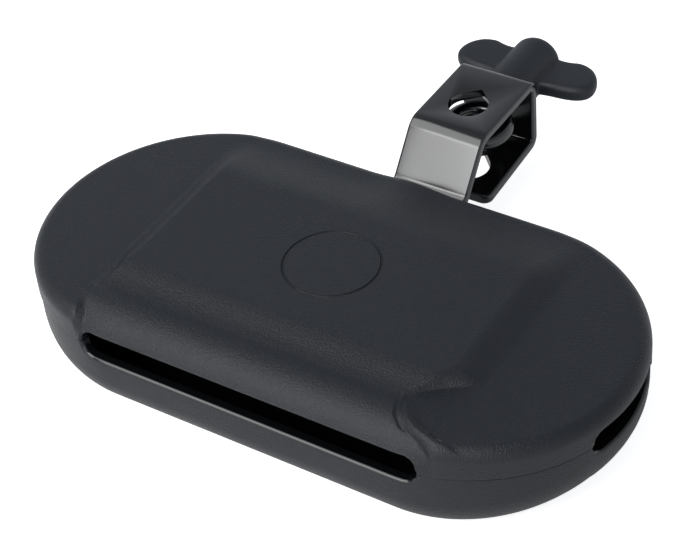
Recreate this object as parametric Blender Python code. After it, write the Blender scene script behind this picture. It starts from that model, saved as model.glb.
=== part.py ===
"""Percussion block: a hollow two-shell block that a stick strikes, with a strap clamp behind it.

The origin is the centre of the flat underside. +X runs to the player's right along the long axis,
+Y runs back to the clamp, and +Z is up. Sizes are in metres.
"""

import math
from dataclasses import dataclass

import bmesh
import bpy
from mathutils import Matrix, Vector

MM = 0.001

# Clearance that two touching pieces keep
GAP = 0.3 * MM

# Block in plan: two half circles joined by straight sides
BODY_LENGTH = 190.0 * MM
BODY_WIDTH = 97.0 * MM
LOWER_STEP_IN = 0.33 * MM
WALL = 3.0 * MM

# Lower shell
LOWER_DEPTH = 22.8 * MM
SIDE_ROUND_ACROSS = 11.5 * MM
SIDE_ROUND_UP = 11.35 * MM
END_ROUND = 18.5 * MM

# Upper shell: heights above the joint between the shells
PLATEAU_HEIGHT = 13.5 * MM
END_HEIGHT = 10.8 * MM
END_FALL = 1.4 * MM
CURL_REACH = 5.0 * MM
REAR_HEIGHT = 10.2 * MM
REAR_HUMP = 1.0 * MM
REAR_HUMP_REACH = 15.0 * MM
REAR_EASE_IN = (26.5 * MM, 4.5 * MM)
RIM_RADIUS = 4.0 * MM
NOSE_RADIUS = 11.5 * MM
FOLD_WIDTH = 2.4 * MM
SLOPE_WIDTH = 5.0 * MM
SLOPE_EASE = (20.5 * MM, 32.5 * MM)

# Height of the centre against the distance in from the front, from the nose's crest back to the plateau
FRONT_PROFILE_MM = ((11.5, 11.5), (14.3, 11.2), (16.7, 11.45), (23.5, 13.2), (25.5, 13.5))

# Where the centre meets the two ends, as x against the distance in. The right fold curls in round the nose.
LEFT_FOLD_MM = ((0.0, -55.0), (9.8, -57.3), (14.2, -58.0), (17.5, -57.2), (21.6, -55.6), (30.5, -56.0))
RIGHT_FOLD_MM = (
    (0.0, 62.0),
    (3.2, 57.2),
    (5.7, 50.5),
    (9.6, 46.0),
    (15.0, 44.3),
    (19.2, 46.4),
    (23.3, 50.1),
    (30.5, 56.0),
)

# How high the right end rises in a ridge along its fold, against the distance in
CURL_RISE_MM = ((1.5, 0.0), (5.5, 0.7), (10.5, 1.2), (15.0, 1.0), (20.0, 0.0))

# Slots between the shells, as half lengths along the outline and half heights
FRONT_SLOT_HALF_LENGTH = 55.15 * MM
FRONT_SLOT_HALF_HEIGHT = 4.05 * MM
END_SLOT_HALF_LENGTH = 17.8 * MM
END_SLOT_HALF_HEIGHT = 3.9 * MM
SLOT_LIP = 1.1 * MM
PARTING_LIP = 0.35 * MM

# Ring cut into the plateau
RING_CENTRE_Y = 1.3 * MM
RING_RADIUS = 14.1 * MM
RING_WIDTH = 0.7 * MM
RING_DEPTH = 0.4 * MM

# Screws that hold the shells together: four near the corners, two beside the clamp
CORNER_SCREW_FROM_END = 31.0 * MM
CORNER_SCREW_FROM_SIDE = 25.5 * MM
REAR_SCREW_X = 30.0 * MM
REAR_SCREW_FROM_SIDE = 16.5 * MM
SCREW_RADIUS = 1.75 * MM
SCREW_LENGTH = 16.0 * MM
SCREW_TIP_HEIGHT = 6.3 * MM
SCREW_HEAD_RADIUS = 3.4 * MM
SCREW_HEAD_HEIGHT = 2.4 * MM
SCREW_BOSS_RADIUS = 5.6 * MM
SCREW_POST_RADIUS = 4.2 * MM

# Clamp strap, bent from one flat bar. Its places are distances in from, or out from, the block's rear.
STRAP_WIDTH = 25.4 * MM
STRAP_THICKNESS = 3.0 * MM
STRAP_EDGE = 0.9 * MM
LEAF_CORNER = 2.5 * MM
TAB_START_IN = 35.5 * MM
RAMP_FOOT_OUT = 7.26 * MM
RAMP_TOP_OUT = 19.46 * MM
TOP_PLATE_HEIGHT = 17.0 * MM
END_PLATE_OUT = 53.5 * MM
LEAF_END_OUT = 21.2 * MM
LEAF_END_HEIGHT = -9.17 * MM
LEAF_REAR_HEIGHT = -6.8 * MM
GENTLE_BEND = 5.5 * MM
TIGHT_BEND = 2.6 * MM
ROD_HOLE_OUT = 32.4 * MM
ROD_HOLE_RADIUS = 6.2 * MM

# Bolts that hold the strap to the lower shell
BOLTS_IN = (28.5 * MM, 14.5 * MM)
BOLT_RADIUS = 2.5 * MM
BOLT_LENGTH = 25.0 * MM
BOLT_HEAD_RADIUS = 4.6 * MM
BOLT_HEAD_HEIGHT = 3.2 * MM
BOLT_RECESS_DEPTH = 5.0 * MM
BOLT_BOSS_RADIUS = 7.6 * MM
BOLT_WASHER_RADIUS = 5.0 * MM
BOLT_WASHER_THICKNESS = 1.0 * MM
BOLT_NUT_ACROSS_FLATS = 8.0 * MM
BOLT_NUT_HEIGHT = 4.0 * MM

# Eye bolt that draws the rod into the notches
CLAMP_AXIS_HEIGHT = 5.3 * MM
EYE_CENTRE_OUT = 37.5 * MM
EYE_INNER_RADIUS = 6.5 * MM
EYE_WIRE_RADIUS = 2.5 * MM
SHANK_RADIUS = 3.0 * MM
SHANK_LENGTH = 33.0 * MM

# Washer, wing nut and its threaded insert
CLAMP_WASHER_RADIUS = 8.0 * MM
CLAMP_WASHER_THICKNESS = 1.2 * MM
HUB_RADIUS = 8.1 * MM
HUB_LENGTH = 25.7 * MM
HUB_DOME = 4.6 * MM
HUB_BORE_DEPTH = 18.0 * MM
WING_HALF_SPAN = 24.3 * MM
WING_THICKNESS = 5.4 * MM
WING_EDGE = 2.0 * MM
INSERT_ACROSS_FLATS = 10.0 * MM
INSERT_LENGTH = 9.0 * MM

# Facets, with the stretch of the front where the folds run out and its columns lie closer together
SMALL_STEPS = 12
ROUND_STEPS = 32
CAP_HALF_WIDTH = 2.5 * MM
FOLDS_FROM = 38.0 * MM
FOLDS_TO = 61.0 * MM
COLUMN_GAP = 2.5 * MM

# Values that follow from the ones above
END_RADIUS = BODY_WIDTH / 2
HALF_STRAIGHT = (BODY_LENGTH - BODY_WIDTH) / 2
QUARTER_ARC = END_RADIUS * math.pi / 2
SIDE_MIDDLE = HALF_STRAIGHT + QUARTER_ARC
TAB_START_Y = END_RADIUS - TAB_START_IN
RAMP_FOOT_Y = END_RADIUS + RAMP_FOOT_OUT
RAMP_TOP_Y = END_RADIUS + RAMP_TOP_OUT
END_PLATE_Y = END_RADIUS + END_PLATE_OUT
LEAF_END_Y = END_RADIUS + LEAF_END_OUT
ROD_HOLE_Y = END_RADIUS + ROD_HOLE_OUT
EYE_CENTRE_Y = END_RADIUS + EYE_CENTRE_OUT
REAR_MIDDLE = 2 * SIDE_MIDDLE
PARTING_Z = LOWER_DEPTH
HALF_GAP = GAP / 2
SCREW_SEAT = SCREW_TIP_HEIGHT - SCREW_LENGTH
BOLT_SEAT = BOLT_RECESS_DEPTH - LOWER_DEPTH
WASHER_FRONT_Y = END_PLATE_Y + GAP
NUT_FRONT_Y = WASHER_FRONT_Y + CLAMP_WASHER_THICKNESS + GAP


def clamp(value, low=0.0, high=1.0):
    return max(low, min(high, value))


def ease(value):
    """Rises from 0 to 1 with level ends."""
    t = clamp(value)
    return t * t * (3 - 2 * t)


def mix(a, b, share):
    return a + (b - a) * share


class SmoothCurve:
    """Curve through knots given in millimetres, level where the knots turn back."""

    def __init__(self, knots_mm):
        self.at = [knot[0] * MM for knot in knots_mm]
        self.value = [knot[1] * MM for knot in knots_mm]
        count = len(self.at)
        rises = []
        for i in range(count - 1):
            rises.append((self.value[i + 1] - self.value[i]) / (self.at[i + 1] - self.at[i]))
        self.slope = [0.0] * count
        for i in range(1, count - 1):
            if rises[i - 1] * rises[i] > 0:
                self.slope[i] = 2 * rises[i - 1] * rises[i] / (rises[i - 1] + rises[i])

    def __call__(self, position):
        p = clamp(position, self.at[0], self.at[-1])
        i = 0
        while i < len(self.at) - 2 and p > self.at[i + 1]:
            i += 1
        span = self.at[i + 1] - self.at[i]
        t = (p - self.at[i]) / span
        bend = t * t * (3 - 2 * t)
        start = t * (1 - t) * (1 - t) * span * self.slope[i]
        end = t * t * (t - 1) * span * self.slope[i + 1]
        return mix(self.value[i], self.value[i + 1], bend) + start + end

    def lean(self, position):
        """How much wider a band of set width is, when it is measured along the value's axis."""
        return math.hypot(1, (self(position + MM) - self(position - MM)) / (2 * MM))


FRONT_PROFILE = SmoothCurve(FRONT_PROFILE_MM)
LEFT_FOLD = SmoothCurve(LEFT_FOLD_MM)
RIGHT_FOLD = SmoothCurve(RIGHT_FOLD_MM)
CURL_RISE = SmoothCurve(CURL_RISE_MM)


def centre_share(x, y):
    """1 on the raised centre of the upper shell, 0 on its two ends."""
    depth = y + END_RADIUS
    width = mix(FOLD_WIDTH, SLOPE_WIDTH, ease((depth - SLOPE_EASE[0]) / (SLOPE_EASE[1] - SLOPE_EASE[0])))
    left = ease(0.5 + (x - LEFT_FOLD(depth)) / (2 * width * LEFT_FOLD.lean(depth)))
    right = ease(0.5 + (RIGHT_FOLD(depth) - x) / (2 * width * RIGHT_FOLD.lean(depth)))
    return left * right


def end_level(x, y):
    """Height of the two ends, which fall outwards. The right one rises in a ridge along its fold."""
    depth = y + END_RADIUS
    fall = END_FALL * clamp((abs(x) - HALF_STRAIGHT) / END_RADIUS)
    away = (x - RIGHT_FOLD(depth)) / RIGHT_FOLD.lean(depth)
    ridge = CURL_RISE(depth) * (1 - ease(away / CURL_REACH)) if x > 0 else 0.0
    return END_HEIGHT - fall + ridge


def centre_level(x, y):
    if y < 0:
        return FRONT_PROFILE(y + END_RADIUS)
    rear = REAR_HEIGHT + REAR_HUMP * (1 - ease(abs(x) / REAR_HUMP_REACH))
    fall = ease((END_RADIUS - REAR_EASE_IN[0] - y) / (REAR_EASE_IN[1] - REAR_EASE_IN[0]))
    return mix(PLATEAU_HEIGHT, rear, fall)


def top_level(x, y):
    return mix(end_level(x, y), centre_level(x, y), centre_share(x, y))


@dataclass(frozen=True)
class Slot:
    """Slot between the shells, its place and half length measured along the outline."""

    middle: float
    half_length: float
    half_height: float

    def distance(self, along):
        around = 2 * REAR_MIDDLE
        return (along - self.middle + around / 2) % around - around / 2


SLOTS = (
    Slot(0.0, FRONT_SLOT_HALF_LENGTH, FRONT_SLOT_HALF_HEIGHT),
    Slot(SIDE_MIDDLE, END_SLOT_HALF_LENGTH, END_SLOT_HALF_HEIGHT),
    Slot(-SIDE_MIDDLE, END_SLOT_HALF_LENGTH, END_SLOT_HALF_HEIGHT),
)


@dataclass(frozen=True)
class Station:
    """Place on the block's outline, with the height of the shells' edge and its lip there."""

    along: float
    edge: float = HALF_GAP
    lip: float = PARTING_LIP
    lean: float = 0.0

    def point(self, inset, shift=0.0):
        """(x, y) at this place, moved in by inset and on by shift along the outline."""
        along = self.along + shift
        side = 1 if along >= 0 else -1
        run = abs(along)
        if run <= HALF_STRAIGHT:
            return Vector((along, inset - END_RADIUS))
        if run >= REAR_MIDDLE - HALF_STRAIGHT:
            return Vector((side * (REAR_MIDDLE - run), END_RADIUS - inset))
        angle = (run - HALF_STRAIGHT) / END_RADIUS
        radius = END_RADIUS - inset
        return Vector((side * (HALF_STRAIGHT + radius * math.sin(angle)), -radius * math.cos(angle)))

    def faces_front(self):
        return abs(self.along) < SIDE_MIDDLE


def slot_stations(slot):
    """Stations along a slot, round both of its ends."""
    straight = slot.half_length - slot.half_height
    found = [Station(slot.middle, slot.half_height, SLOT_LIP)]
    for side in (-1, 1):
        for angle in (0, 35, 65, 90):
            a = math.radians(angle)
            along = slot.middle + side * (straight + slot.half_height * math.sin(a))
            edge = max(HALF_GAP, slot.half_height * math.cos(a))
            found.append(Station(along, edge, SLOT_LIP, side * math.sin(a)))
    return found


def spread(start, stop, count):
    return [mix(start, stop, i / count) for i in range(count + 1)]


def outline_stations():
    """Stations round the outline, closer together where the surface turns."""
    front_straight = FRONT_SLOT_HALF_LENGTH - FRONT_SLOT_HALF_HEIGHT
    slot_start = SIDE_MIDDLE - END_SLOT_HALF_LENGTH
    strap_side = STRAP_WIDTH / 2
    half = [*spread(0.0, FOLDS_FROM, 4), *spread(FOLDS_FROM + COLUMN_GAP, front_straight, 5)]
    stations = []
    for along in half[1:-1]:
        for side in (-1, 1):
            stations.append(Station(side * along, FRONT_SLOT_HALF_HEIGHT, SLOT_LIP))
    for slot in SLOTS:
        stations.extend(slot_stations(slot))
    for offset in (-0.4, 0.4):
        along = END_SLOT_HALF_LENGTH * offset
        for middle in (-SIDE_MIDDLE, SIDE_MIDDLE):
            stations.append(Station(middle + along, END_SLOT_HALF_HEIGHT, SLOT_LIP))
    slot_stop = FRONT_SLOT_HALF_LENGTH + 1.4 * SLOT_LIP
    plain = [*spread(slot_stop, FOLDS_TO, 4), FOLDS_TO + COLUMN_GAP]
    plain += spread(FOLDS_TO + 2 * COLUMN_GAP, slot_start - COLUMN_GAP, 5)
    plain += spread(SIDE_MIDDLE + END_SLOT_HALF_LENGTH + COLUMN_GAP, REAR_MIDDLE - HALF_STRAIGHT, 7)
    plain += [REAR_MIDDLE - x for x in (35 * MM, 25 * MM, 18 * MM, strap_side, strap_side / 2)]
    for along in plain:
        for side in (-1, 1):
            stations.append(Station(side * along))
    stations.append(Station(REAR_MIDDLE))
    return sorted(stations, key=lambda station: station.along)


# Shares of the way round the rim and insets of the rings inside the nose
RIM_TURNS = (0.0, 0.33, 0.66, 1.0)
RIM_FLATS = (0.28, 0.62, 1.0)
OUTER_RINGS_MM = (13.0, 14.5, 16.7, 19.5, 22.0, 24.0, 25.5)
INNER_RINGS_MM = (16.4, 20.6, 25.5)


def rim_path(station, offset):
    """Wall, rounded rim and level top as (inset, height), for a surface offset inwards."""
    radius = max(RIM_RADIUS - offset, MM)
    path = []
    for turn in RIM_TURNS:
        angle = turn * math.pi / 2
        inset = offset + radius * (1 - math.cos(angle))
        point = station.point(inset)
        level = end_level(point.x, point.y) if station.faces_front() else top_level(point.x, point.y)
        path.append((inset, level - offset - radius * (1 - math.sin(angle))))
    for share in RIM_FLATS:
        inset = mix(offset + radius, NOSE_RADIUS, share)
        point = station.point(inset)
        level = end_level(point.x, point.y) if station.faces_front() else top_level(point.x, point.y)
        path.append((inset, level - offset))
    return path


def nose_point(inset, height, offset):
    """Where the line from the nose's centre through (inset, height) meets the round nose."""
    angle = math.atan2(height, NOSE_RADIUS - inset)
    radius = NOSE_RADIUS - offset
    return NOSE_RADIUS - radius * math.cos(angle), radius * math.sin(angle)


def nose_share(point, height):
    """How far the surface follows the nose at a point: none on the ends or down at the joint."""
    return centre_share(point.x, point.y) * ease(height / FRONT_SLOT_HALF_HEIGHT)


def follow_nose(station, inset, height, offset):
    """Moves a place on the plain wall or top to the nose, as far as the centre reaches there."""
    plain = station.point(inset)
    if not station.faces_front():
        return plain, height
    nose_inset, nose_height = nose_point(inset, height, offset)
    nose = station.point(nose_inset)
    share = nose_share((plain + nose) / 2, height)
    return plain.lerp(nose, share), mix(height, nose_height, share)


def upper_edge_points(station, offset):
    """Points of the shell's lower edge: on the wall above its lip, and under the lip."""
    points = []
    lip = station.lip if offset == 0 else 0.0
    for turn in (0.0, 0.5, 1.0) if offset == 0 else (0.0,):
        angle = turn * math.pi / 2
        rise = lip * (1 - math.sin(angle))
        inset = offset + lip * (1 - math.cos(angle))
        height = station.edge + rise * math.sqrt(1 - station.lean**2)
        plain = station.point(inset, rise * station.lean)
        if station.faces_front():
            reach = math.sqrt((NOSE_RADIUS - offset) ** 2 - (station.edge + lip) ** 2)
            nose = station.point(NOSE_RADIUS - reach + inset - offset, rise * station.lean)
            plain = plain.lerp(nose, nose_share((plain + nose) / 2, station.edge + lip))
        points.append(Vector((plain.x, plain.y, PARTING_Z + height)))
    return points


def upper_column(station, offset, rings_mm, steps):
    """Column of points up the shell's surface from its lower edge in to the rim of its flat cap."""
    column = list(reversed(upper_edge_points(station, offset)))
    for inset, height in rim_path(station, offset):
        place, level = follow_nose(station, inset, height, offset)
        column.append(Vector((place.x, place.y, PARTING_Z + level)))
    rings = [ring * MM for ring in rings_mm]
    rings += spread(rings[-1], END_RADIUS - CAP_HALF_WIDTH, steps)[1:]
    for inset in rings:
        point = station.point(inset)
        column.append(Vector((point.x, point.y, PARTING_Z + top_level(point.x, point.y) - offset)))
    return column


def lower_column(station, offset):
    """Column of points down the lower shell from its upper edge to the rim of its floor."""
    shrink = LOWER_STEP_IN + offset
    column = []
    lip = station.lip if offset == 0 else 0.0
    for turn in (1.0, 0.5, 0.0) if offset == 0 else (0.0,):
        angle = turn * math.pi / 2
        rise = lip * (1 - math.sin(angle))
        point = station.point(shrink + lip * (1 - math.cos(angle)), rise * station.lean)
        height = station.edge + rise * math.sqrt(1 - station.lean**2)
        column.append(Vector((point.x, point.y, PARTING_Z - height)))
    middle = station.point(0.0)
    bulge = clamp((abs(middle.x) - HALF_STRAIGHT) / END_RADIUS) ** 2
    across = mix(SIDE_ROUND_ACROSS, END_ROUND, bulge) - offset
    up = mix(SIDE_ROUND_UP, END_ROUND, bulge) - offset
    up = min(up, LOWER_DEPTH - offset - station.edge - lip - MM / 2)
    for step in range(6):
        angle = step / 5 * math.pi / 2
        point = station.point(shrink + across * (1 - math.cos(angle)))
        column.append(Vector((point.x, point.y, offset + up * (1 - math.sin(angle)))))
    return column


def skin(bm, outer_columns, inner_columns):
    """Closed shell from two sets of columns that start at the same edge, with a cap on each set."""
    loops = []
    for columns in (outer_columns, inner_columns):
        loops.append([[bm.verts.new(point) for point in column] for column in columns])
    outer, inner = loops
    count = len(outer)
    for i in range(count):
        j = (i + 1) % count
        strips = [(inner[i][0], outer[i][0]), *zip(outer[i], outer[i][1:])]
        mates = [(inner[j][0], outer[j][0]), *zip(outer[j], outer[j][1:])]
        strips += [(upper, lower) for lower, upper in zip(inner[i], inner[i][1:])]
        mates += [(upper, lower) for lower, upper in zip(inner[j], inner[j][1:])]
        for (a, b), (d, c) in zip(strips, mates):
            bm.faces.new((a, b, c, d))
    bm.faces.new([column[-1] for column in outer])
    bm.faces.new([column[-1] for column in inner])
    bmesh.ops.recalc_face_normals(bm, faces=bm.faces)


def finish(name, colour, roughness, metallic=0.0):
    material = bpy.data.materials.new(name)
    material.use_nodes = True
    shader = material.node_tree.nodes["Principled BSDF"]
    shader.inputs["Base Color"].default_value = (*colour, 1.0)
    shader.inputs["Roughness"].default_value = roughness
    shader.inputs["Metallic"].default_value = metallic
    return material


def add_object(name, bm, material):
    mesh = bpy.data.meshes.new(name)
    bm.to_mesh(mesh)
    bm.free()
    obj = bpy.data.objects.new(name, mesh)
    bpy.context.scene.collection.objects.link(obj)
    if material:
        mesh.materials.append(material)
        mesh.shade_smooth()
        mesh.set_sharp_from_angle(angle=math.radians(35))
    return obj


def combine(obj, name, bm, operation):
    """Adds a Boolean of the helper shape in bm to the object."""
    helper = add_object(f"{obj.name}_{name}", bm, None)
    helper.hide_render = True
    helper.display_type = "WIRE"
    modifier = obj.modifiers.new(name, "BOOLEAN")
    modifier.operation = operation
    modifier.object = helper
    return helper


def revolve(bm, profile, steps, centre=(0.0, 0.0)):
    """Turns a profile of (radius, height) from axis to axis about a vertical line through centre."""
    before = set(bm.verts)
    points = [bm.verts.new((centre[0] + radius, centre[1], height)) for radius, height in profile]
    edges = [bm.edges.new(pair) for pair in zip(points, points[1:])]
    bmesh.ops.spin(
        bm,
        geom=points + edges,
        cent=(*centre, 0.0),
        axis=(0, 0, 1),
        angle=2 * math.pi,
        steps=steps,
        use_merge=True,
    )
    new = [vert for vert in bm.verts if vert not in before]
    bmesh.ops.remove_doubles(bm, verts=new, dist=MM / 1000)
    bmesh.ops.recalc_face_normals(bm, faces=bm.faces)


def pillar(bm, centre, radius, low, high, steps=SMALL_STEPS):
    revolve(bm, ((0, low), (radius, low), (radius, high), (0, high)), steps, centre)


def box(bm, low, high):
    size = Vector(high) - Vector(low)
    middle = (Vector(high) + Vector(low)) / 2
    bmesh.ops.create_cube(bm, size=1.0, matrix=Matrix.Translation(middle) @ Matrix.Diagonal((*size, 1.0)))


def prism(bm, outline, low, high):
    """Straight solid on an outline of (x, y) points."""
    face = bm.faces.new([bm.verts.new((x, y, low)) for x, y in outline])
    made = bmesh.ops.extrude_face_region(bm, geom=[face])
    top = [item for item in made["geom"] if isinstance(item, bmesh.types.BMVert)]
    bmesh.ops.translate(bm, verts=top, vec=(0, 0, high - low))
    bmesh.ops.recalc_face_normals(bm, faces=bm.faces)


def hexagon(across_flats):
    radius = across_flats / 2 / math.cos(math.pi / 6)
    return [(radius * math.cos(i * math.pi / 3), radius * math.sin(i * math.pi / 3)) for i in range(6)]


def screw_places():
    x = BODY_LENGTH / 2 - CORNER_SCREW_FROM_END
    y = END_RADIUS - CORNER_SCREW_FROM_SIDE
    rear_y = END_RADIUS - REAR_SCREW_FROM_SIDE
    return [(-x, -y), (x, -y), (-x, y), (x, y), (-REAR_SCREW_X, rear_y), (REAR_SCREW_X, rear_y)]


def bolt_places():
    return [(0.0, END_RADIUS - distance) for distance in BOLTS_IN]


def strap_passage(bm):
    """Space that the strap needs through the rear wall."""
    half = STRAP_WIDTH / 2 + GAP
    rise = STRAP_THICKNESS / 2 + GAP
    inside = END_RADIUS - WALL - LOWER_STEP_IN - GAP
    box(bm, (-half, inside, PARTING_Z - rise), (half, END_RADIUS + WALL, PARTING_Z + rise))


def make_upper_shell(material):
    stations = outline_stations()
    bm = bmesh.new()
    outer = [upper_column(station, 0.0, OUTER_RINGS_MM, 6) for station in stations]
    inner = [upper_column(station, WALL, INNER_RINGS_MM, 4) for station in stations]
    skin(bm, outer, inner)
    shell = add_object("upper_shell", bm, material)

    posts = bmesh.new()
    for x, y in screw_places():
        top = PARTING_Z + top_level(x, y) - WALL / 2
        pillar(posts, (x, y), SCREW_POST_RADIUS, PARTING_Z + HALF_GAP, top)
    combine(shell, "posts", posts, "UNION")

    cuts = bmesh.new()
    for place in screw_places():
        low = PARTING_Z - MM
        pillar(cuts, place, SCREW_RADIUS + GAP, low, PARTING_Z + SCREW_TIP_HEIGHT + GAP)
    plateau_ring(cuts)
    strap_passage(cuts)
    combine(shell, "cuts", cuts, "DIFFERENCE")
    return shell


def plateau_ring(bm):
    """Ring that is cut into the plateau."""
    low = PARTING_Z + PLATEAU_HEIGHT - RING_DEPTH
    high = PARTING_Z + PLATEAU_HEIGHT + MM
    inner = RING_RADIUS - RING_WIDTH / 2
    outer = RING_RADIUS + RING_WIDTH / 2
    profile = ((inner, low), (outer, low), (outer, high), (inner, high), (inner, low))
    revolve(bm, profile, ROUND_STEPS, (0.0, RING_CENTRE_Y))


def make_lower_shell(material):
    stations = outline_stations()
    bm = bmesh.new()
    outer = [lower_column(station, 0.0) for station in stations]
    inner = [lower_column(station, WALL) for station in stations]
    skin(bm, outer, inner)
    shell = add_object("lower_shell", bm, material)

    bosses = bmesh.new()
    for place in screw_places():
        pillar(bosses, place, SCREW_BOSS_RADIUS, WALL / 2, PARTING_Z - HALF_GAP)
    combine(shell, "bosses", bosses, "UNION")
    tab_seat = PARTING_Z - STRAP_THICKNESS / 2 - GAP
    for number, place in enumerate(bolt_places(), start=1):
        pedestal = bmesh.new()
        pillar(pedestal, place, BOLT_BOSS_RADIUS, WALL / 2, tab_seat, 2 * SMALL_STEPS)
        combine(shell, f"pedestal_{number}", pedestal, "UNION")

    cuts = bmesh.new()
    for place in screw_places():
        recess = SCREW_HEAD_RADIUS + 2 * GAP
        bore = SCREW_RADIUS + GAP
        seat = PARTING_Z + SCREW_SEAT + GAP
        profile = ((0, -MM), (recess, -MM), (recess, seat), (bore, seat), (bore, PARTING_Z + MM), (0, PARTING_Z + MM))
        revolve(cuts, profile, SMALL_STEPS, place)
    for place in bolt_places():
        recess = BOLT_HEAD_RADIUS + 2 * GAP
        bore = BOLT_RADIUS + GAP
        seat = PARTING_Z + BOLT_SEAT + GAP
        profile = ((0, -MM), (recess, -MM), (recess, seat), (bore, seat), (bore, PARTING_Z + MM), (0, PARTING_Z + MM))
        revolve(cuts, profile, 2 * SMALL_STEPS, place)
    strap_passage(cuts)
    combine(shell, "cuts", cuts, "DIFFERENCE")
    return shell


def make_headed(name, place, seat, radius, length, head_radius, head_height, material):
    """Screw or bolt with a domed head below its seat and its shank pointing up."""
    low = -head_height
    profile = (
        (0, low),
        (0.55 * head_radius, low),
        (0.88 * head_radius, mix(low, 0, 0.25)),
        (head_radius, mix(low, 0, 0.6)),
        (head_radius, 0),
        (radius, 0),
        (radius, length - radius / 2),
        (radius / 2, length),
        (0, length),
    )
    bm = bmesh.new()
    revolve(bm, profile, SMALL_STEPS)
    obj = add_object(name, bm, material)
    obj.location = (*place, PARTING_Z + seat)
    return obj


def make_ring_washer(name, radius, bore, thickness, steps, material):
    """Flat washer standing on its own origin."""
    bm = bmesh.new()
    profile = ((bore, 0), (radius, 0), (radius, thickness), (bore, thickness), (bore, 0))
    revolve(bm, profile, steps)
    return add_object(name, bm, material)


def make_hex_nut(name, across_flats, bore, height, material):
    """Hexagon nut standing on its own origin."""
    bm = bmesh.new()
    prism(bm, hexagon(across_flats), 0, height)
    nut = add_object(name, bm, material)
    hole = bmesh.new()
    pillar(hole, (0, 0), bore, -MM, height + MM, SMALL_STEPS)
    helper = combine(nut, "bore", hole, "DIFFERENCE")
    helper.parent = nut
    return nut


def make_shell_screws(material):
    for number, place in enumerate(screw_places(), start=1):
        make_headed(
            f"shell_screw_{number}",
            place,
            SCREW_SEAT,
            SCREW_RADIUS,
            SCREW_LENGTH,
            SCREW_HEAD_RADIUS,
            SCREW_HEAD_HEIGHT,
            material,
        )


def make_strap_fasteners(material):
    for number, place in enumerate(bolt_places(), start=1):
        make_headed(
            f"bracket_bolt_{number}",
            place,
            BOLT_SEAT,
            BOLT_RADIUS,
            BOLT_LENGTH,
            BOLT_HEAD_RADIUS,
            BOLT_HEAD_HEIGHT,
            material,
        )
        bore = BOLT_RADIUS + GAP
        name = f"bracket_washer_{number}"
        washer = make_ring_washer(name, BOLT_WASHER_RADIUS, bore, BOLT_WASHER_THICKNESS, SMALL_STEPS, material)
        washer_low = PARTING_Z + STRAP_THICKNESS / 2 + GAP
        washer.location = (*place, washer_low)
        nut = make_hex_nut(f"bracket_nut_{number}", BOLT_NUT_ACROSS_FLATS, bore, BOLT_NUT_HEIGHT, material)
        nut.location = (*place, washer_low + BOLT_WASHER_THICKNESS + GAP)


def bend_points(before, corner, after, radius, steps=6):
    """Points of a round bend at a corner of a path, with the given radius on the path itself."""
    back = (before - corner).normalized()
    on = (after - corner).normalized()
    half_turn = (math.pi - back.angle(on)) / 2
    reach = radius * math.tan(half_turn)
    centre = corner + (back + on).normalized() * (radius / math.cos(half_turn))
    start = corner + back * reach - centre
    end = corner + on * reach - centre
    whole = start.angle(end)
    points = []
    for i in range(steps + 1):
        share = i / steps
        points.append(centre + (start * math.sin((1 - share) * whole) + end * math.sin(share * whole)) / math.sin(whole))
    return points


def strap_path():
    """Middle line of the strap in the Y Z plane, from the tab's hidden end to the leaf's free end."""
    plate_y = END_PLATE_Y - STRAP_THICKNESS / 2
    plate_top = TOP_PLATE_HEIGHT - STRAP_THICKNESS / 2
    corners = [
        Vector((TAB_START_Y, 0)),
        Vector((RAMP_FOOT_Y, 0)),
        Vector((RAMP_TOP_Y, plate_top)),
        Vector((plate_y, plate_top)),
        Vector((plate_y, LEAF_REAR_HEIGHT)),
        Vector((LEAF_END_Y, LEAF_END_HEIGHT)),
    ]
    radii = (GENTLE_BEND, GENTLE_BEND, TIGHT_BEND, TIGHT_BEND)
    path = [corners[0]]
    for i, radius in enumerate(radii, start=1):
        path += bend_points(corners[i - 1], corners[i], corners[i + 1], radius)
    path.append(corners[-1])
    return path


def strap_section(half_width):
    """Cross-section of the strap as (across, out of the surface), with its edges rounded."""
    half_thickness = STRAP_THICKNESS / 2
    points = []
    for x_side, z_side, first in ((1, 1, 0), (-1, 1, 90), (-1, -1, 180), (1, -1, 270)):
        for angle in (first, first + 45, first + 90):
            a = math.radians(angle)
            across = x_side * (half_width - STRAP_EDGE) + STRAP_EDGE * math.cos(a)
            points.append((across, z_side * (half_thickness - STRAP_EDGE) + STRAP_EDGE * math.sin(a)))
    return points


def end_rings(path):
    """The path with rings added at its free end, where the strap's corners are rounded in plan."""
    last, before = path[-1], path[-2]
    back = (before - last).normalized()
    rings = [(point, STRAP_WIDTH / 2) for point in path[:-1]]
    for angle in (0, 30, 60, 90):
        a = math.radians(angle)
        place = last + back * LEAF_CORNER * (1 - math.sin(a))
        rings.append((place, STRAP_WIDTH / 2 - LEAF_CORNER * (1 - math.cos(a))))
    return rings


def teardrop(steps=20):
    """Rod hole: a circle whose tangents meet in a square notch behind it."""
    points = []
    for i in range(steps + 1):
        angle = math.pi * (0.75 + 1.5 * i / steps)
        points.append((ROD_HOLE_RADIUS * math.cos(angle), ROD_HOLE_Y + ROD_HOLE_RADIUS * math.sin(angle)))
    points.append((0.0, ROD_HOLE_Y + ROD_HOLE_RADIUS * math.sqrt(2)))
    return points


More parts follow.
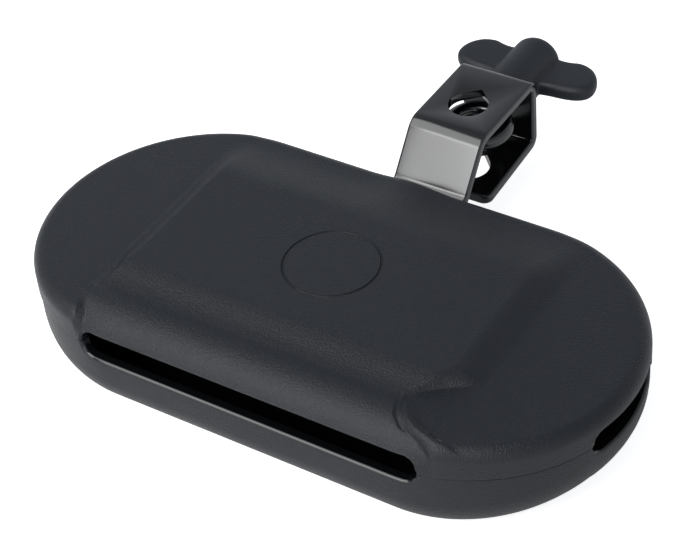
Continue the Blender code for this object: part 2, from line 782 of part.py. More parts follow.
def make_bracket(material):
    bm = bmesh.new()
    rings = end_rings(strap_path())
    loops = []
    for i, (place, half_width) in enumerate(rings):
        ahead = (rings[min(i + 1, len(rings) - 1)][0] - rings[max(i - 1, 0)][0]).normalized()
        out = Vector((-ahead.y, ahead.x))
        loop = []
        for across, rise in strap_section(half_width):
            point = place + out * rise
            loop.append(bm.verts.new((across, point.x, PARTING_Z + point.y)))
        loops.append(loop)
    for loop, following in zip(loops, loops[1:]):
        for i in range(len(loop)):
            j = (i + 1) % len(loop)
            bm.faces.new((loop[i], loop[j], following[j], following[i]))
    bm.faces.new(loops[0])
    bm.faces.new(loops[-1])
    bmesh.ops.recalc_face_normals(bm, faces=bm.faces)
    bracket = add_object("bracket", bm, material)

    rod_hole = bmesh.new()
    prism(rod_hole, teardrop(), PARTING_Z - 2 * ROD_HOLE_RADIUS, PARTING_Z + 2 * TOP_PLATE_HEIGHT)
    combine(bracket, "rod_hole", rod_hole, "DIFFERENCE")
    bolt_holes = bmesh.new()
    for place in bolt_places():
        pillar(bolt_holes, place, BOLT_RADIUS + GAP, PARTING_Z - 2 * MM, PARTING_Z + 2 * MM)
    combine(bracket, "bolt_holes", bolt_holes, "DIFFERENCE")
    shank_hole = bmesh.new()
    pillar(shank_hole, (0, 0), SHANK_RADIUS + GAP, -2 * STRAP_THICKNESS, STRAP_THICKNESS, 2 * SMALL_STEPS)
    helper = combine(bracket, "shank_hole", shank_hole, "DIFFERENCE")
    helper.matrix_world = clamp_axis_at(END_PLATE_Y)
    return bracket


def clamp_axis_at(y):
    """Frame on the clamp's axis at y whose +Z points back along it."""
    return Matrix.Translation((0, y, PARTING_Z + CLAMP_AXIS_HEIGHT)) @ Matrix.Rotation(-math.pi / 2, 4, "X")


def make_eye_bolt(material):
    """Ring of round wire lying level, with a shank that runs back from it."""
    ring_radius = EYE_INNER_RADIUS + EYE_WIRE_RADIUS
    bm = bmesh.new()
    section = []
    for i in range(SMALL_STEPS):
        angle = 2 * math.pi * i / SMALL_STEPS
        section.append((ring_radius + EYE_WIRE_RADIUS * math.cos(angle), EYE_WIRE_RADIUS * math.sin(angle)))
    revolve(bm, [*section, section[0]], ROUND_STEPS)
    eye = add_object("eye_bolt", bm, material)
    eye.location = (0, EYE_CENTRE_Y, PARTING_Z + CLAMP_AXIS_HEIGHT)

    shank = bmesh.new()
    start = ring_radius
    tip = SHANK_LENGTH - MM
    profile = ((0, start), (SHANK_RADIUS, start), (SHANK_RADIUS, tip), (SHANK_RADIUS - MM, SHANK_LENGTH), (0, SHANK_LENGTH))
    revolve(shank, profile, 2 * SMALL_STEPS)
    shank.transform(Matrix.Rotation(-math.pi / 2, 4, "X"))
    helper = combine(eye, "shank", shank, "UNION")
    helper.parent = eye
    return eye


def smooth_loop(points, per_span=4):
    """Closed curve through a few points, each passed along the line between its neighbours."""
    count = len(points)
    curve = []
    for i in range(count):
        a, b, c, d = (Vector(points[(i + k) % count]) for k in (-1, 0, 1, 2))
        for step in range(per_span):
            t = step / per_span
            curve.append(
                b
                + (c - a) * (t / 2)
                + (2 * a - 5 * b + 4 * c - d) * (t * t / 2)
                + (3 * b - a - 3 * c + d) * (t * t * t / 2)
            )
    return curve


def wing_outline(side):
    """One paddle of the wing nut: across from the axis, and back from the hub's face."""
    span = WING_HALF_SPAN
    points = (
        (0.0, 7.4 * MM),
        (0.50 * span, 7.8 * MM),
        (0.80 * span, 8.9 * MM),
        (0.96 * span, 11.4 * MM),
        (1.00 * span, 15.0 * MM),
        (0.95 * span, 19.2 * MM),
        (0.82 * span, 22.6 * MM),
        (0.64 * span, 23.9 * MM),
        (0.45 * span, 22.9 * MM),
        (0.0, 21.5 * MM),
    )
    return [(side * x, y) for x, y in smooth_loop(points, 3)]


def make_wing_nut(material):
    bm = bmesh.new()
    profile = [(0, 0), (HUB_RADIUS - MM / 2, 0), (HUB_RADIUS, MM / 2)]
    for step in range(5):
        angle = step / 5 * math.pi / 2
        profile.append((HUB_RADIUS * math.cos(angle), HUB_LENGTH - HUB_DOME * (1 - math.sin(angle))))
    profile.append((0, HUB_LENGTH))
    revolve(bm, profile, ROUND_STEPS)
    nut = add_object("wing_nut", bm, material)
    pose = clamp_axis_at(NUT_FRONT_Y)
    for side, name in ((-1, "left_wing"), (1, "right_wing")):
        wing = bmesh.new()
        prism(wing, wing_outline(side), -WING_THICKNESS / 2, WING_THICKNESS / 2)
        rims = [edge for edge in wing.edges if abs(edge.verts[0].co.z - edge.verts[1].co.z) < MM / 100]
        bmesh.ops.bevel(
            wing, geom=rims, offset=WING_EDGE, segments=2, profile=0.5, affect="EDGES", loop_slide=False
        )
        # The paddle was drawn flat: its y becomes the nut's own axis.
        wing.transform(Matrix.Rotation(math.pi / 2, 4, "X"))
        helper = combine(nut, name, wing, "UNION")
        helper.matrix_world = pose
    pocket = bmesh.new()
    prism(pocket, hexagon(INSERT_ACROSS_FLATS + 2 * GAP), -MM, INSERT_LENGTH + GAP)
    combine(nut, "pocket", pocket, "DIFFERENCE").matrix_world = pose
    bore = bmesh.new()
    pillar(bore, (0, 0), SHANK_RADIUS + GAP, INSERT_LENGTH / 2, HUB_BORE_DEPTH, 2 * SMALL_STEPS)
    combine(nut, "bore", bore, "DIFFERENCE").matrix_world = pose
    nut.matrix_world = pose

    insert = make_hex_nut("wing_nut_insert", INSERT_ACROSS_FLATS, SHANK_RADIUS + GAP, INSERT_LENGTH, FINISHES["brass"])
    insert.matrix_world = pose
    return nut


def make_clamp_washer(material):
    bore = SHANK_RADIUS + GAP
    washer = make_ring_washer("wing_washer", CLAMP_WASHER_RADIUS, bore, CLAMP_WASHER_THICKNESS, ROUND_STEPS, material)
    washer.matrix_world = clamp_axis_at(WASHER_FRONT_Y)
    return washer


for old in list(bpy.data.objects):
    bpy.data.objects.remove(old)

FINISHES = {
    "shell_plastic": finish("shell_plastic", (0.027, 0.028, 0.034), 0.42),
    "black_lacquer": finish("black_lacquer", (0.012, 0.013, 0.015), 0.1),
    "zinc": finish("zinc", (0.55, 0.56, 0.58), 0.32, 1.0),
    "brass": finish("brass", (0.60, 0.43, 0.16), 0.3, 1.0),
    "wing_plastic": finish("wing_plastic", (0.03, 0.031, 0.035), 0.38),
}

make_upper_shell(FINISHES["shell_plastic"])
make_lower_shell(FINISHES["shell_plastic"])
make_shell_screws(FINISHES["zinc"])
make_bracket(FINISHES["black_lacquer"])
make_strap_fasteners(FINISHES["zinc"])
make_eye_bolt(FINISHES["black_lacquer"])
make_wing_nut(FINISHES["wing_plastic"])
make_clamp_washer(FINISHES["zinc"])
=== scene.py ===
"""Looks of a hollow two-shell percussion block with its rod clamp.

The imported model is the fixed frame. The two shells, the clamp and the screws that can be seen are
modelled again here in finer detail, and the hidden hardware keeps its own solids with better finishes.
Lengths are in metres, +Z is up and the origin is the middle of the block's flat underside.
"""

import logging
import math
from dataclasses import dataclass, field
from enum import Enum, IntEnum
from typing import Callable, Sequence

import bpy
from mathutils import Matrix, Vector


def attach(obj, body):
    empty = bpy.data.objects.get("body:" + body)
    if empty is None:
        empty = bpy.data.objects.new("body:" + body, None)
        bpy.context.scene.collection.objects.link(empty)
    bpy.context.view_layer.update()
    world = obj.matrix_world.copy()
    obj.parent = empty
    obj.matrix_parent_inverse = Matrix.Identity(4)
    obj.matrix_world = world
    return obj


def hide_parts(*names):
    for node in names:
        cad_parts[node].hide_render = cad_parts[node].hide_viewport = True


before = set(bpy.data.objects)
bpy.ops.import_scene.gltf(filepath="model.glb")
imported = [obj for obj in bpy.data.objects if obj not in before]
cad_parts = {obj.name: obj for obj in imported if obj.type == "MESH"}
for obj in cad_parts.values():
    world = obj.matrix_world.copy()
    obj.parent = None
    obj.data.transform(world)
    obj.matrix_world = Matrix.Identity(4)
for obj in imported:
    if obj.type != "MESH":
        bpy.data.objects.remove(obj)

LOG = logging.getLogger("percussion_block")
MM = 0.001

JOINT_HEIGHT = 22.8 * MM  # height of the joint between the two shells, in which the strap's tab lies
BAR_WIDTH, BAR_THICKNESS = 25.4 * MM, 3.0 * MM  # flat bar that the strap is bent from
TAB_BOLTS = (20.0 * MM, 34.0 * MM)  # how far behind the block's middle the strap's two bolts stand

WELD = MM / 2000  # points closer than this become one
LEVEL_SLACK = MM / 100  # how far off a level an edge may lie
RIM_SLACK = MM / 50  # how far off a rim's radius or face an edge may lie
OVERCUT = MM  # how far a cutting tool reaches past what it cuts

Piece = bpy.types.Object
Material = bpy.types.Material
Point = tuple[float, float]
Section = list[Point]
EdgeTest = Callable[[Vector, Vector], bool]


class Shell(Enum):
    """Which half of the block a surface belongs to."""

    UPPER = "upper_shell"
    LOWER = "lower_shell"


class Layer(Enum):
    """Which skin of a shell a surface is, and the slot of its finish on the piece."""

    GRAINED = 0
    GLOSSY = 1


class Around(IntEnum):
    """How many flat sides stand in for a circle."""

    POST = 32
    HOLE = 40
    HEAD = 48
    HUB = 96
    RING = 128


# Numbers and curves.


def clamp(value: float, low: float = 0.0, high: float = 1.0) -> float:
    """Keeps a value between two limits."""
    return max(low, min(high, value))


def ease(value: float) -> float:
    """Rises from 0 to 1 with level ends."""
    t = clamp(value)
    return t * t * (3 - 2 * t)


def mix(a: float, b: float, share: float) -> float:
    """Value at a share of the way from a to b."""
    return a + (b - a) * share


def spread(start: float, stop: float, step: float) -> list[float]:
    """Even steps from start to stop, no longer than step, with both ends."""
    count = max(1, math.ceil(abs(stop - start) / step - 1e-6))
    return [mix(start, stop, i / count) for i in range(count + 1)]


def linear(hex_code: str) -> tuple[float, float, float, float]:
    """Turns an sRGB hex colour into the linear colour that a shader takes.

    Args:
        hex_code: six hex digits, such as "3A3D45".

    Returns:
        Red, green, blue and an alpha of 1.
    """
    channels = [int(hex_code[i : i + 2], 16) / 255 for i in (0, 2, 4)]
    return (*[c / 12.92 if c <= 0.04045 else ((c + 0.055) / 1.055) ** 2.4 for c in channels], 1.0)


class SmoothCurve:
    """Curve through knots given in millimetres, level where the knots turn back."""

    def __init__(self, knots_mm: Sequence[Point]) -> None:
        """Reads the knots and sets a slope at each.

        Args:
            knots_mm: place and value of each knot, in the order of their places.
        """
        self.at = [knot[0] * MM for knot in knots_mm]
        self.value = [knot[1] * MM for knot in knots_mm]
        spans = range(len(self.at) - 1)
        rises = [(self.value[i + 1] - self.value[i]) / (self.at[i + 1] - self.at[i]) for i in spans]
        self.slope = [0.0] * len(self.at)
        for i in range(1, len(self.at) - 1):
            if rises[i - 1] * rises[i] > 0:
                self.slope[i] = 2 * rises[i - 1] * rises[i] / (rises[i - 1] + rises[i])

    def __call__(self, position: float) -> float:
        """Reads the curve, held level past its first and last knot.

        Args:
            position: place along the curve, in metres.

        Returns:
            The value there, in metres.
        """
        p = clamp(position, self.at[0], self.at[-1])
        i = 0
        while i < len(self.at) - 2 and p > self.at[i + 1]:
            i += 1
        span = self.at[i + 1] - self.at[i]
        t = (p - self.at[i]) / span
        start = t * (1 - t) * (1 - t) * span * self.slope[i]
        end = t * t * (t - 1) * span * self.slope[i + 1]
        return mix(self.value[i], self.value[i + 1], ease(t)) + start + end

    def lean(self, position: float) -> float:
        """How much wider a band of set width is, when it is measured along the value's axis."""
        return math.hypot(1, (self(position + MM) - self(position - MM)) / (2 * MM))


# The bench: the few moves that every piece is made with.


def only(*pieces: Piece) -> None:
    """Selects some pieces alone.

    Args:
        pieces: the pieces, of which the first becomes the active one.
    """
    bpy.ops.object.select_all(action="DESELECT")
    for piece in pieces:
        piece.select_set(True)
    bpy.context.view_layer.objects.active = pieces[0]


def take(kind: str, name: str, **settings: object) -> Piece:
    """Adds a primitive by itself.

    Args:
        kind: the primitive, such as "cylinder".
        name: the new piece's name.
        settings: the primitive's own settings.

    Returns:
        The new piece, active and selected.
    """
    bpy.ops.object.select_all(action="DESELECT")
    getattr(bpy.ops.mesh, f"primitive_{kind}_add")(**settings)
    piece = bpy.context.object
    piece.name = name
    return piece


def edit(piece: Piece, *moves: Callable[[], object]) -> Piece:
    """Runs edit-mode moves on the whole of a piece.

    Args:
        piece: the piece.
        moves: what is done to it, in order.

    Returns:
        The same piece.
    """
    only(piece)
    bpy.ops.object.mode_set(mode="EDIT")
    bpy.ops.mesh.select_all(action="SELECT")
    for move in moves:
        move()
    bpy.ops.object.mode_set(mode="OBJECT")
    return piece


def settle(piece: Piece) -> Piece:
    """Puts a piece's place into its mesh and leaves its object at the origin.

    Args:
        piece: the piece.

    Returns:
        The same piece.
    """
    only(piece)
    bpy.ops.object.transform_apply(location=True, rotation=True, scale=True)
    return piece


def modify(piece: Piece, kind: str, **settings: object) -> Piece:
    """Adds a modifier and applies it.

    Args:
        piece: the piece.
        kind: the modifier's type, such as "BOOLEAN".
        settings: the modifier's own settings.

    Returns:
        The same piece.
    """
    only(piece)
    modifier = piece.modifiers.new(kind.lower(), kind)
    for key, value in settings.items():
        setattr(modifier, key, value)
    bpy.ops.object.modifier_apply(modifier=modifier.name)
    return piece


def cut(piece: Piece, tool: Piece, operation: str = "DIFFERENCE") -> Piece:
    """Combines a piece with a tool by an exact Boolean and throws the tool away.

    Args:
        piece: the piece.
        tool: the solid that is taken away or added.
        operation: "DIFFERENCE" or "UNION".

    Returns:
        The same piece.
    """
    modify(piece, "BOOLEAN", object=tool, operation=operation, solver="EXACT")
    bpy.data.objects.remove(tool)
    return piece


def smooth(piece: Piece, degrees: float = 35.0) -> Piece:
    """Shades a piece smooth, with sharp edges where it turns by more than an angle.

    Args:
        piece: the piece.
        degrees: the angle.

    Returns:
        The same piece.
    """
    only(piece)
    bpy.ops.object.shade_smooth_by_angle(angle=math.radians(degrees))
    return piece


def face_out(piece: Piece) -> Piece:
    """Merges a piece's doubles and turns its faces outwards.

    Args:
        piece: the piece.

    Returns:
        The same piece.
    """
    return edit(
        piece,
        lambda: bpy.ops.mesh.remove_doubles(threshold=WELD),
        lambda: bpy.ops.mesh.normals_make_consistent(inside=False),
    )


def loft(name: str, columns: list[list[Vector]]) -> Piece:
    """Closed body from a grid whose points are pulled onto columns, as a sculptor would.

    Args:
        name: the piece's name.
        columns: points from one end of the body to the other, for each place round it.

    Returns:
        The body, its two open ends filled.
    """
    count, rows = len(columns), len(columns[0])
    piece = take("grid", name, x_subdivisions=count, y_subdivisions=rows - 1, size=1.0)
    for vert in piece.data.vertices:
        i = round((vert.co.x + 0.5) * count) % count
        j = round((vert.co.y + 0.5) * (rows - 1))
        vert.co = columns[i][j]
    edit(piece, lambda: bpy.ops.mesh.remove_doubles(threshold=WELD))
    only(piece)
    bpy.ops.object.mode_set(mode="EDIT")
    bpy.ops.mesh.select_mode(type="EDGE")
    bpy.ops.mesh.select_all(action="DESELECT")
    bpy.ops.mesh.select_non_manifold()
    bpy.ops.mesh.edge_face_add()
    bpy.ops.mesh.select_all(action="SELECT")
    bpy.ops.mesh.normals_make_consistent(inside=False)
    bpy.ops.object.mode_set(mode="OBJECT")
    return piece


def rims(piece: Piece, test: EdgeTest, width: float, segments: int = 2) -> None:
    """Bevels the edges of a piece that a test picks.

    Args:
        piece: the piece.
        test: takes an edge's two ends and says whether it is bevelled.
        width: the bevel's width.
        segments: how many strips it has.
    """
    only(piece)
    bpy.ops.object.mode_set(mode="EDIT")
    bpy.ops.mesh.select_mode(type="EDGE")
    bpy.ops.mesh.select_all(action="DESELECT")
    bpy.ops.object.mode_set(mode="OBJECT")
    for edge in piece.data.edges:
        a, b = (piece.data.vertices[i].co for i in edge.vertices)
        edge.select = test(a, b)
    bpy.ops.object.mode_set(mode="EDIT")
    bpy.ops.mesh.bevel(offset=width, segments=segments, profile=0.5, affect="EDGES", clamp_overlap=True)
    bpy.ops.object.mode_set(mode="OBJECT")


def at_height(height: float) -> EdgeTest:
    """Test for edges that lie level at a height."""
    return lambda a, b: abs(a.z - height) < LEVEL_SLACK and abs(b.z - height) < LEVEL_SLACK


def barrel(name: str, place: Point, radius: float, low: float, high: float, around: Around) -> Piece:
    """Upright cylinder with its place in its mesh.

    Args:
        name: the piece's name.
        place: (x, y) of its axis.
        radius: its radius.
        low: height of its underside.
        high: height of its upper side.
        around: how many sides it has.

    Returns:
        The cylinder.
    """
    middle = (*place, (low + high) / 2)
    return settle(take("cylinder", name, vertices=around, radius=radius, depth=high - low, location=middle))


def hoop(
    name: str, centre: Sequence[float], radius: float, wire: float, around: Around, across: int
) -> Piece:
    """Level ring of round wire.

    Args:
        name: the piece's name.
        centre: its centre.
        radius: radius of the wire's middle line.
        wire: radius of the wire.
        around: how many sides the ring has.
        across: how many sides the wire has.

    Returns:
        The ring.
    """
    counts = {"major_segments": around, "minor_segments": across}
    return settle(take("torus", name, location=centre, major_radius=radius, minor_radius=wire, **counts))


def plate(name: str, outline: Section, low: float, high: float) -> Piece:
    """Straight solid on a flat outline.

    Args:
        name: the piece's name.
        outline: (x, y) points round it.
        low: height of its underside.
        high: height of its upper side.

    Returns:
        The solid.
    """
    piece = take("circle", name, vertices=len(outline), fill_type="NGON")
    for vert, (x, y) in zip(piece.data.vertices, outline):
        vert.co = (x, y, low)
    rise = {"value": (0.0, 0.0, high - low)}
    edit(piece, lambda: bpy.ops.mesh.extrude_region_move(TRANSFORM_OT_translate=rise))
    return face_out(piece)


def hexagon(across_flats: float) -> Section:
    """Corners of a hexagon about the origin."""
    radius = across_flats / math.sqrt(3)
    return [(radius * math.cos(i * math.pi / 3), radius * math.sin(i * math.pi / 3)) for i in range(6)]


def copy_to(piece: Piece, name: str, shift: Sequence[float]) -> Piece:
    """Copies a piece with its own mesh and moves the copy.

    Args:
        piece: the piece that is copied.
        name: the copy's name.
        shift: how far the copy moves.

    Returns:
        The copy.
    """
    only(piece)
    bpy.ops.object.duplicate()
    copy = bpy.context.object
    copy.name = name
    copy.location = shift
    return settle(copy)


# The finishes.


def add_node(
    tree: bpy.types.NodeTree,
    kind: str,
    settings: dict[str | int, object] | None = None,
    links: dict[str | int, bpy.types.NodeSocket] | None = None,
) -> bpy.types.Node:
    """Adds a node with its settings and links.

    Args:
        tree: the node tree.
        kind: the node's type, such as "ShaderNodeTexNoise".
        settings: values for its properties, or for its input sockets by name or number.
        links: outputs to link to its inputs, by the input's name or number.

    Returns:
        The new node.
    """
    node = tree.nodes.new(kind)
    for key, value in (settings or {}).items():
        if isinstance(key, str) and hasattr(node, key):
            setattr(node, key, value)
        else:
            node.inputs[key].default_value = value
    for key, output in (links or {}).items():
        tree.links.new(output, node.inputs[key])
    return node


@dataclass(frozen=True)
class Finish:
    """A material: what the real one is, and how its surface was made.

    Attributes:
        name: the material's name.
        colour: sRGB hex of the bare surface.
        roughness: mean roughness.
        metallic: 1 on metal.
        ior: index of refraction where it isn't metal.
        level: how much of that index's reflection is left, 0.5 for all of it.
        grain_mm: size of its grain.
        grain_depth_mm: depth of that grain.
        mottle: how far the colour strays, as a share.
        smear: how far the roughness strays.
        cloud_mm: size of the patches in which the roughness strays.
    """

    name: str
    colour: str
    roughness: float
    metallic: float = 0.0
    ior: float = 1.5
    level: float = 0.5
    grain_mm: float = 0.7
    grain_depth_mm: float = 0.03
    mottle: float = 0.1
    smear: float = 0.06
    cloud_mm: float = 14.0

    def build(self) -> Material:
        """Makes the material, with its grain in Object coordinates.

        Returns:
            The material.
        """
        material = bpy.data.materials.new(self.name)
        material.use_nodes = True
        tree = material.node_tree
        shader = tree.nodes["Principled BSDF"]
        shader.inputs["Metallic"].default_value = self.metallic
        if not self.metallic:
            shader.inputs["IOR"].default_value = self.ior
            shader.inputs["Specular IOR Level"].default_value = self.level
        place = add_node(tree, "ShaderNodeTexCoord").outputs["Object"]
        fine = {"Scale": 1 / (self.grain_mm * MM), "Detail": 3.0, "Roughness": 0.6}
        broad = {"Scale": 1 / (self.cloud_mm * MM), "Detail": 3.0}
        grain = add_node(tree, "ShaderNodeTexNoise", fine, {0: place}).outputs["Fac"]
        cloud = add_node(tree, "ShaderNodeTexNoise", broad, {0: place}).outputs["Fac"]
        base = linear(self.colour)
        dark = (*[c * (1 - self.mottle) for c in base[:3]], 1.0)
        light = (*[min(1.0, c * (1 + self.mottle)) for c in base[:3]], 1.0)
        spots = add_node(tree, "ShaderNodeMix", {"data_type": "RGBA", 6: dark, 7: light}, {0: grain})
        stray = {
            "From Min": 0.3,
            "From Max": 0.7,
            "To Min": self.roughness - self.smear,
            "To Max": self.roughness + self.smear,
        }
        rough = add_node(tree, "ShaderNodeMapRange", stray, {"Value": cloud})
        relief = {"Strength": 1.0, "Distance": self.grain_depth_mm * MM}
        bump = add_node(tree, "ShaderNodeBump", relief, {"Height": grain})
        tree.links.new(spots.outputs[2], shader.inputs["Base Color"])
        tree.links.new(rough.outputs[0], shader.inputs["Roughness"])
        tree.links.new(bump.outputs[0], shader.inputs["Normal"])
        return material


# ABS moulded in a spark-eroded tool: the eye sees a fine pebble that breaks up every highlight. The real
# pebble is too fine to show in the render, so it is drawn as coarse as it needs to show.
GRAINED_ABS = Finish(
    "grained_abs", "14171C", 0.34, level=0.3, grain_mm=0.5, grain_depth_mm=0.26, mottle=0.35, smear=0.03
)
# The same ABS where the tool was polished, inside and on the slots' lips: near black, clear reflections.
POLISHED_ABS = Finish(
    "polished_abs", "08090A", 0.12, grain_mm=3.0, grain_depth_mm=0.004, mottle=0.05, smear=0.03
)
# Nylon moulding of the wing nut: matte, slightly greyer.
MOULDED_NYLON = Finish(
    "moulded_nylon", "1A1D22", 0.5, level=0.35, grain_mm=0.6, grain_depth_mm=0.05, mottle=0.12
)
# Stoved gloss lacquer on bent steel: soft-edged reflections over black, with a faint waviness of the coat.
STOVED_LACQUER = Finish(
    "stoved_lacquer", "07080A", 0.16, ior=1.72, grain_mm=5.0, grain_depth_mm=0.006, mottle=0.05, smear=0.02
)
# Bright zinc plate on cold-headed screws: soft sheen.
ZINC_PLATE = Finish("zinc_plate", "B4B8BC", 0.3, 1.0, grain_mm=0.4, grain_depth_mm=0.006, mottle=0.06)
# Turned brass of the threaded insert: yellow, with a soft sheen.
TURNED_BRASS = Finish("turned_brass", "C9A35A", 0.28, 1.0, grain_mm=0.3, grain_depth_mm=0.006, mottle=0.06)


class Palette:
    """The finishes, each built once."""

    def __init__(self) -> None:
        """Builds every finish."""
        self.grained = GRAINED_ABS.build()
        self.polished = POLISHED_ABS.build()
        self.nylon = MOULDED_NYLON.build()
        self.lacquer = STOVED_LACQUER.build()
        self.zinc = ZINC_PLATE.build()
        self.brass = TURNED_BRASS.build()


def dress(piece: Piece, *materials: Material) -> Piece:
    """Gives a piece its materials, keeping which face has which.

    Args:
        piece: the piece.
        materials: its materials, in the order of its faces' slots.

    Returns:
        The same piece.
    """
    slots = [polygon.material_index for polygon in piece.data.polygons]
    piece.data.materials.clear()
    for material in materials:
        piece.data.materials.append(material)
    for polygon, index in zip(piece.data.polygons, slots):
        polygon.material_index = min(index, len(materials) - 1)
    return piece


def mount(piece: Piece, body: str, slot: str, *nodes: str) -> None:
    """Fixes a finished piece to a body in place of CAD nodes, and reports it.

    Args:
        piece: the piece.
        body: the body that it moves with.
        slot: the name of its material's slot; not used.
        nodes: the CAD nodes that it replaces.
    """
    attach(piece, body)
    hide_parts(*nodes)
    LOG.info("%s: %d faces on %s for %s", piece.name, len(piece.data.polygons), body, ", ".join(nodes))


# The block.


@dataclass(frozen=True)
class Top:
    """Height of the block's upper surface above the joint between the shells.

    Attributes:
        plateau: height of the raised centre.
        end: height of the two ends where they meet it, and end_fall: how far they fall outwards.
        half_straight: where that fall starts, and end_radius: how far out it runs.
        rear: height of the centre's rear edge, rear_hump: how much higher it is behind the clamp, and
            rear_hump_reach: how far to each side that is.
        rear_ease: where the fall to the rear edge starts and stops.
        fold_widths: half widths of the left and right folds at the front, and slope_widths: farther back.
        slope_ease: where the folds change from one to the other.
        curl_crest: how far outside the right fold its ridge lies, and curl_reach: how far it spreads.
        groove_out: how far inside the right fold its groove lies, groove_half: half of the groove's
            width, and groove_share: its depth as a share of the ridge.
        front: height of the centre from its nose back, with the valley behind the nose.
        left_fold: how far across the left fold lies, from front to back, and right_fold: the right one.
        curl_rise: height of the ridge outside the right fold, from front to back.
    """

    plateau: float = 13.5 * MM
    end: float = 10.8 * MM
    end_fall: float = 1.4 * MM
    half_straight: float = 46.5 * MM
    end_radius: float = 48.5 * MM
    rear: float = 10.2 * MM
    rear_hump: float = 1.0 * MM
    rear_hump_reach: float = 15.0 * MM
    rear_ease: Point = (22.0 * MM, 44.0 * MM)
    fold_widths: Point = (1.5 * MM, 1.0 * MM)
    slope_widths: Point = (3.4 * MM, 5.0 * MM)
    slope_ease: Point = (-28.0 * MM, -16.0 * MM)
    curl_crest: float = 1.3 * MM
    curl_reach: float = 5.0 * MM
    groove_out: float = 0.9 * MM
    groove_half: float = 0.9 * MM
    groove_share: float = 0.45
    front: SmoothCurve = SmoothCurve(
        ((-37.0, 11.5), (-34.2, 11.2), (-31.8, 11.45), (-25.0, 13.2), (-23.0, 13.5))
    )
    left_fold: SmoothCurve = SmoothCurve(
        ((-48.5, -55.0), (-38.7, -57.3), (-34.3, -58.0), (-31.0, -57.2), (-26.9, -55.6), (-18.0, -56.0))
    )
    right_fold: SmoothCurve = SmoothCurve(
        (
            *((-48.5, 62.0), (-45.3, 57.2), (-42.8, 50.5), (-38.9, 46.0)),
            *((-33.5, 44.3), (-29.3, 46.4), (-25.2, 50.1), (-18.0, 56.0)),
        )
    )
    curl_rise: SmoothCurve = SmoothCurve(
        ((-47.5, 0.0), (-45.5, 0.6), (-42.5, 1.1), (-39.5, 1.1), (-36.0, 0.5), (-32.5, 0.0))
    )

    def share(self, x: float, y: float) -> float:
        """How far a place belongs to the raised centre.

        Args:
            x: place along the block.
            y: place across it.

        Returns:
            1 on the raised centre, 0 on the two ends.
        """
        start, stop = self.slope_ease
        open_up = ease((y - start) / (stop - start))
        left_width, right_width = (mix(a, b, open_up) for a, b in zip(self.fold_widths, self.slope_widths))
        left = ease(0.5 + (x - self.left_fold(y)) / (2 * left_width * self.left_fold.lean(y)))
        right = ease(0.5 + (self.right_fold(y) - x) / (2 * right_width * self.right_fold.lean(y)))
        return left * right

    def past_right_fold(self, x: float, y: float) -> float:
        """How far outside the right fold a place lies."""
        return (x - self.right_fold(y)) / self.right_fold.lean(y)

    def end_level(self, x: float, y: float) -> float:
        """Height of the two ends, which fall outwards. The right one rises in a ridge along its fold.

        Args:
            x: place along the block.
            y: place across it.

        Returns:
            The height there.
        """
        fall = self.end_fall * clamp((abs(x) - self.half_straight) / self.end_radius)
        away = self.past_right_fold(x, y)
        reach = self.curl_crest if away < self.curl_crest else self.curl_reach
        ridge = self.curl_rise(y) * ease(1 - abs(away - self.curl_crest) / reach) if x > 0 else 0.0
        return self.end - fall + ridge

    def groove(self, x: float, y: float) -> float:
        """Depth of the narrow groove that follows the foot of the curled fold."""
        dip = ease(1 - abs(self.past_right_fold(x, y) + self.groove_out) / self.groove_half)
        return self.groove_share * self.curl_rise(y) * dip if x > 0 else 0.0

    def centre_level(self, x: float, y: float) -> float:
        """Height of the raised centre, with its valley in front and its fall to the clamp behind.

        Args:
            x: place along the block.
            y: place across it.

        Returns:
            The height there.
        """
        if y < 0:
            return self.front(y) - self.groove(x, y)
        start, stop = self.rear_ease
        rear = self.rear + self.rear_hump * (1 - ease(abs(x) / self.rear_hump_reach))
        return mix(self.plateau, rear, ease((y - start) / (stop - start)))

    def level(self, x: float, y: float) -> float:
        """Height of the whole top."""
        return mix(self.end_level(x, y), self.centre_level(x, y), self.share(x, y))


@dataclass(frozen=True)
class Slot:
    """Slot between the shells, its place and half length measured along the outline."""

    middle: float
    half_length: float
    half_height: float


@dataclass(frozen=True)
class Station:
    """Place on the block's outline, with the shells' edge there.

    Attributes:
        along: how far round the outline it lies, from the middle of the front.
        edge: height of the shell's edge above the joint.
        lip: radius of the edge's rounding.
        lean: how far the edge runs upright there, as it does at a slot's ends.
    """

    along: float
    edge: float = 0.15 * MM
    lip: float = 0.35 * MM
    lean: float = 0.0


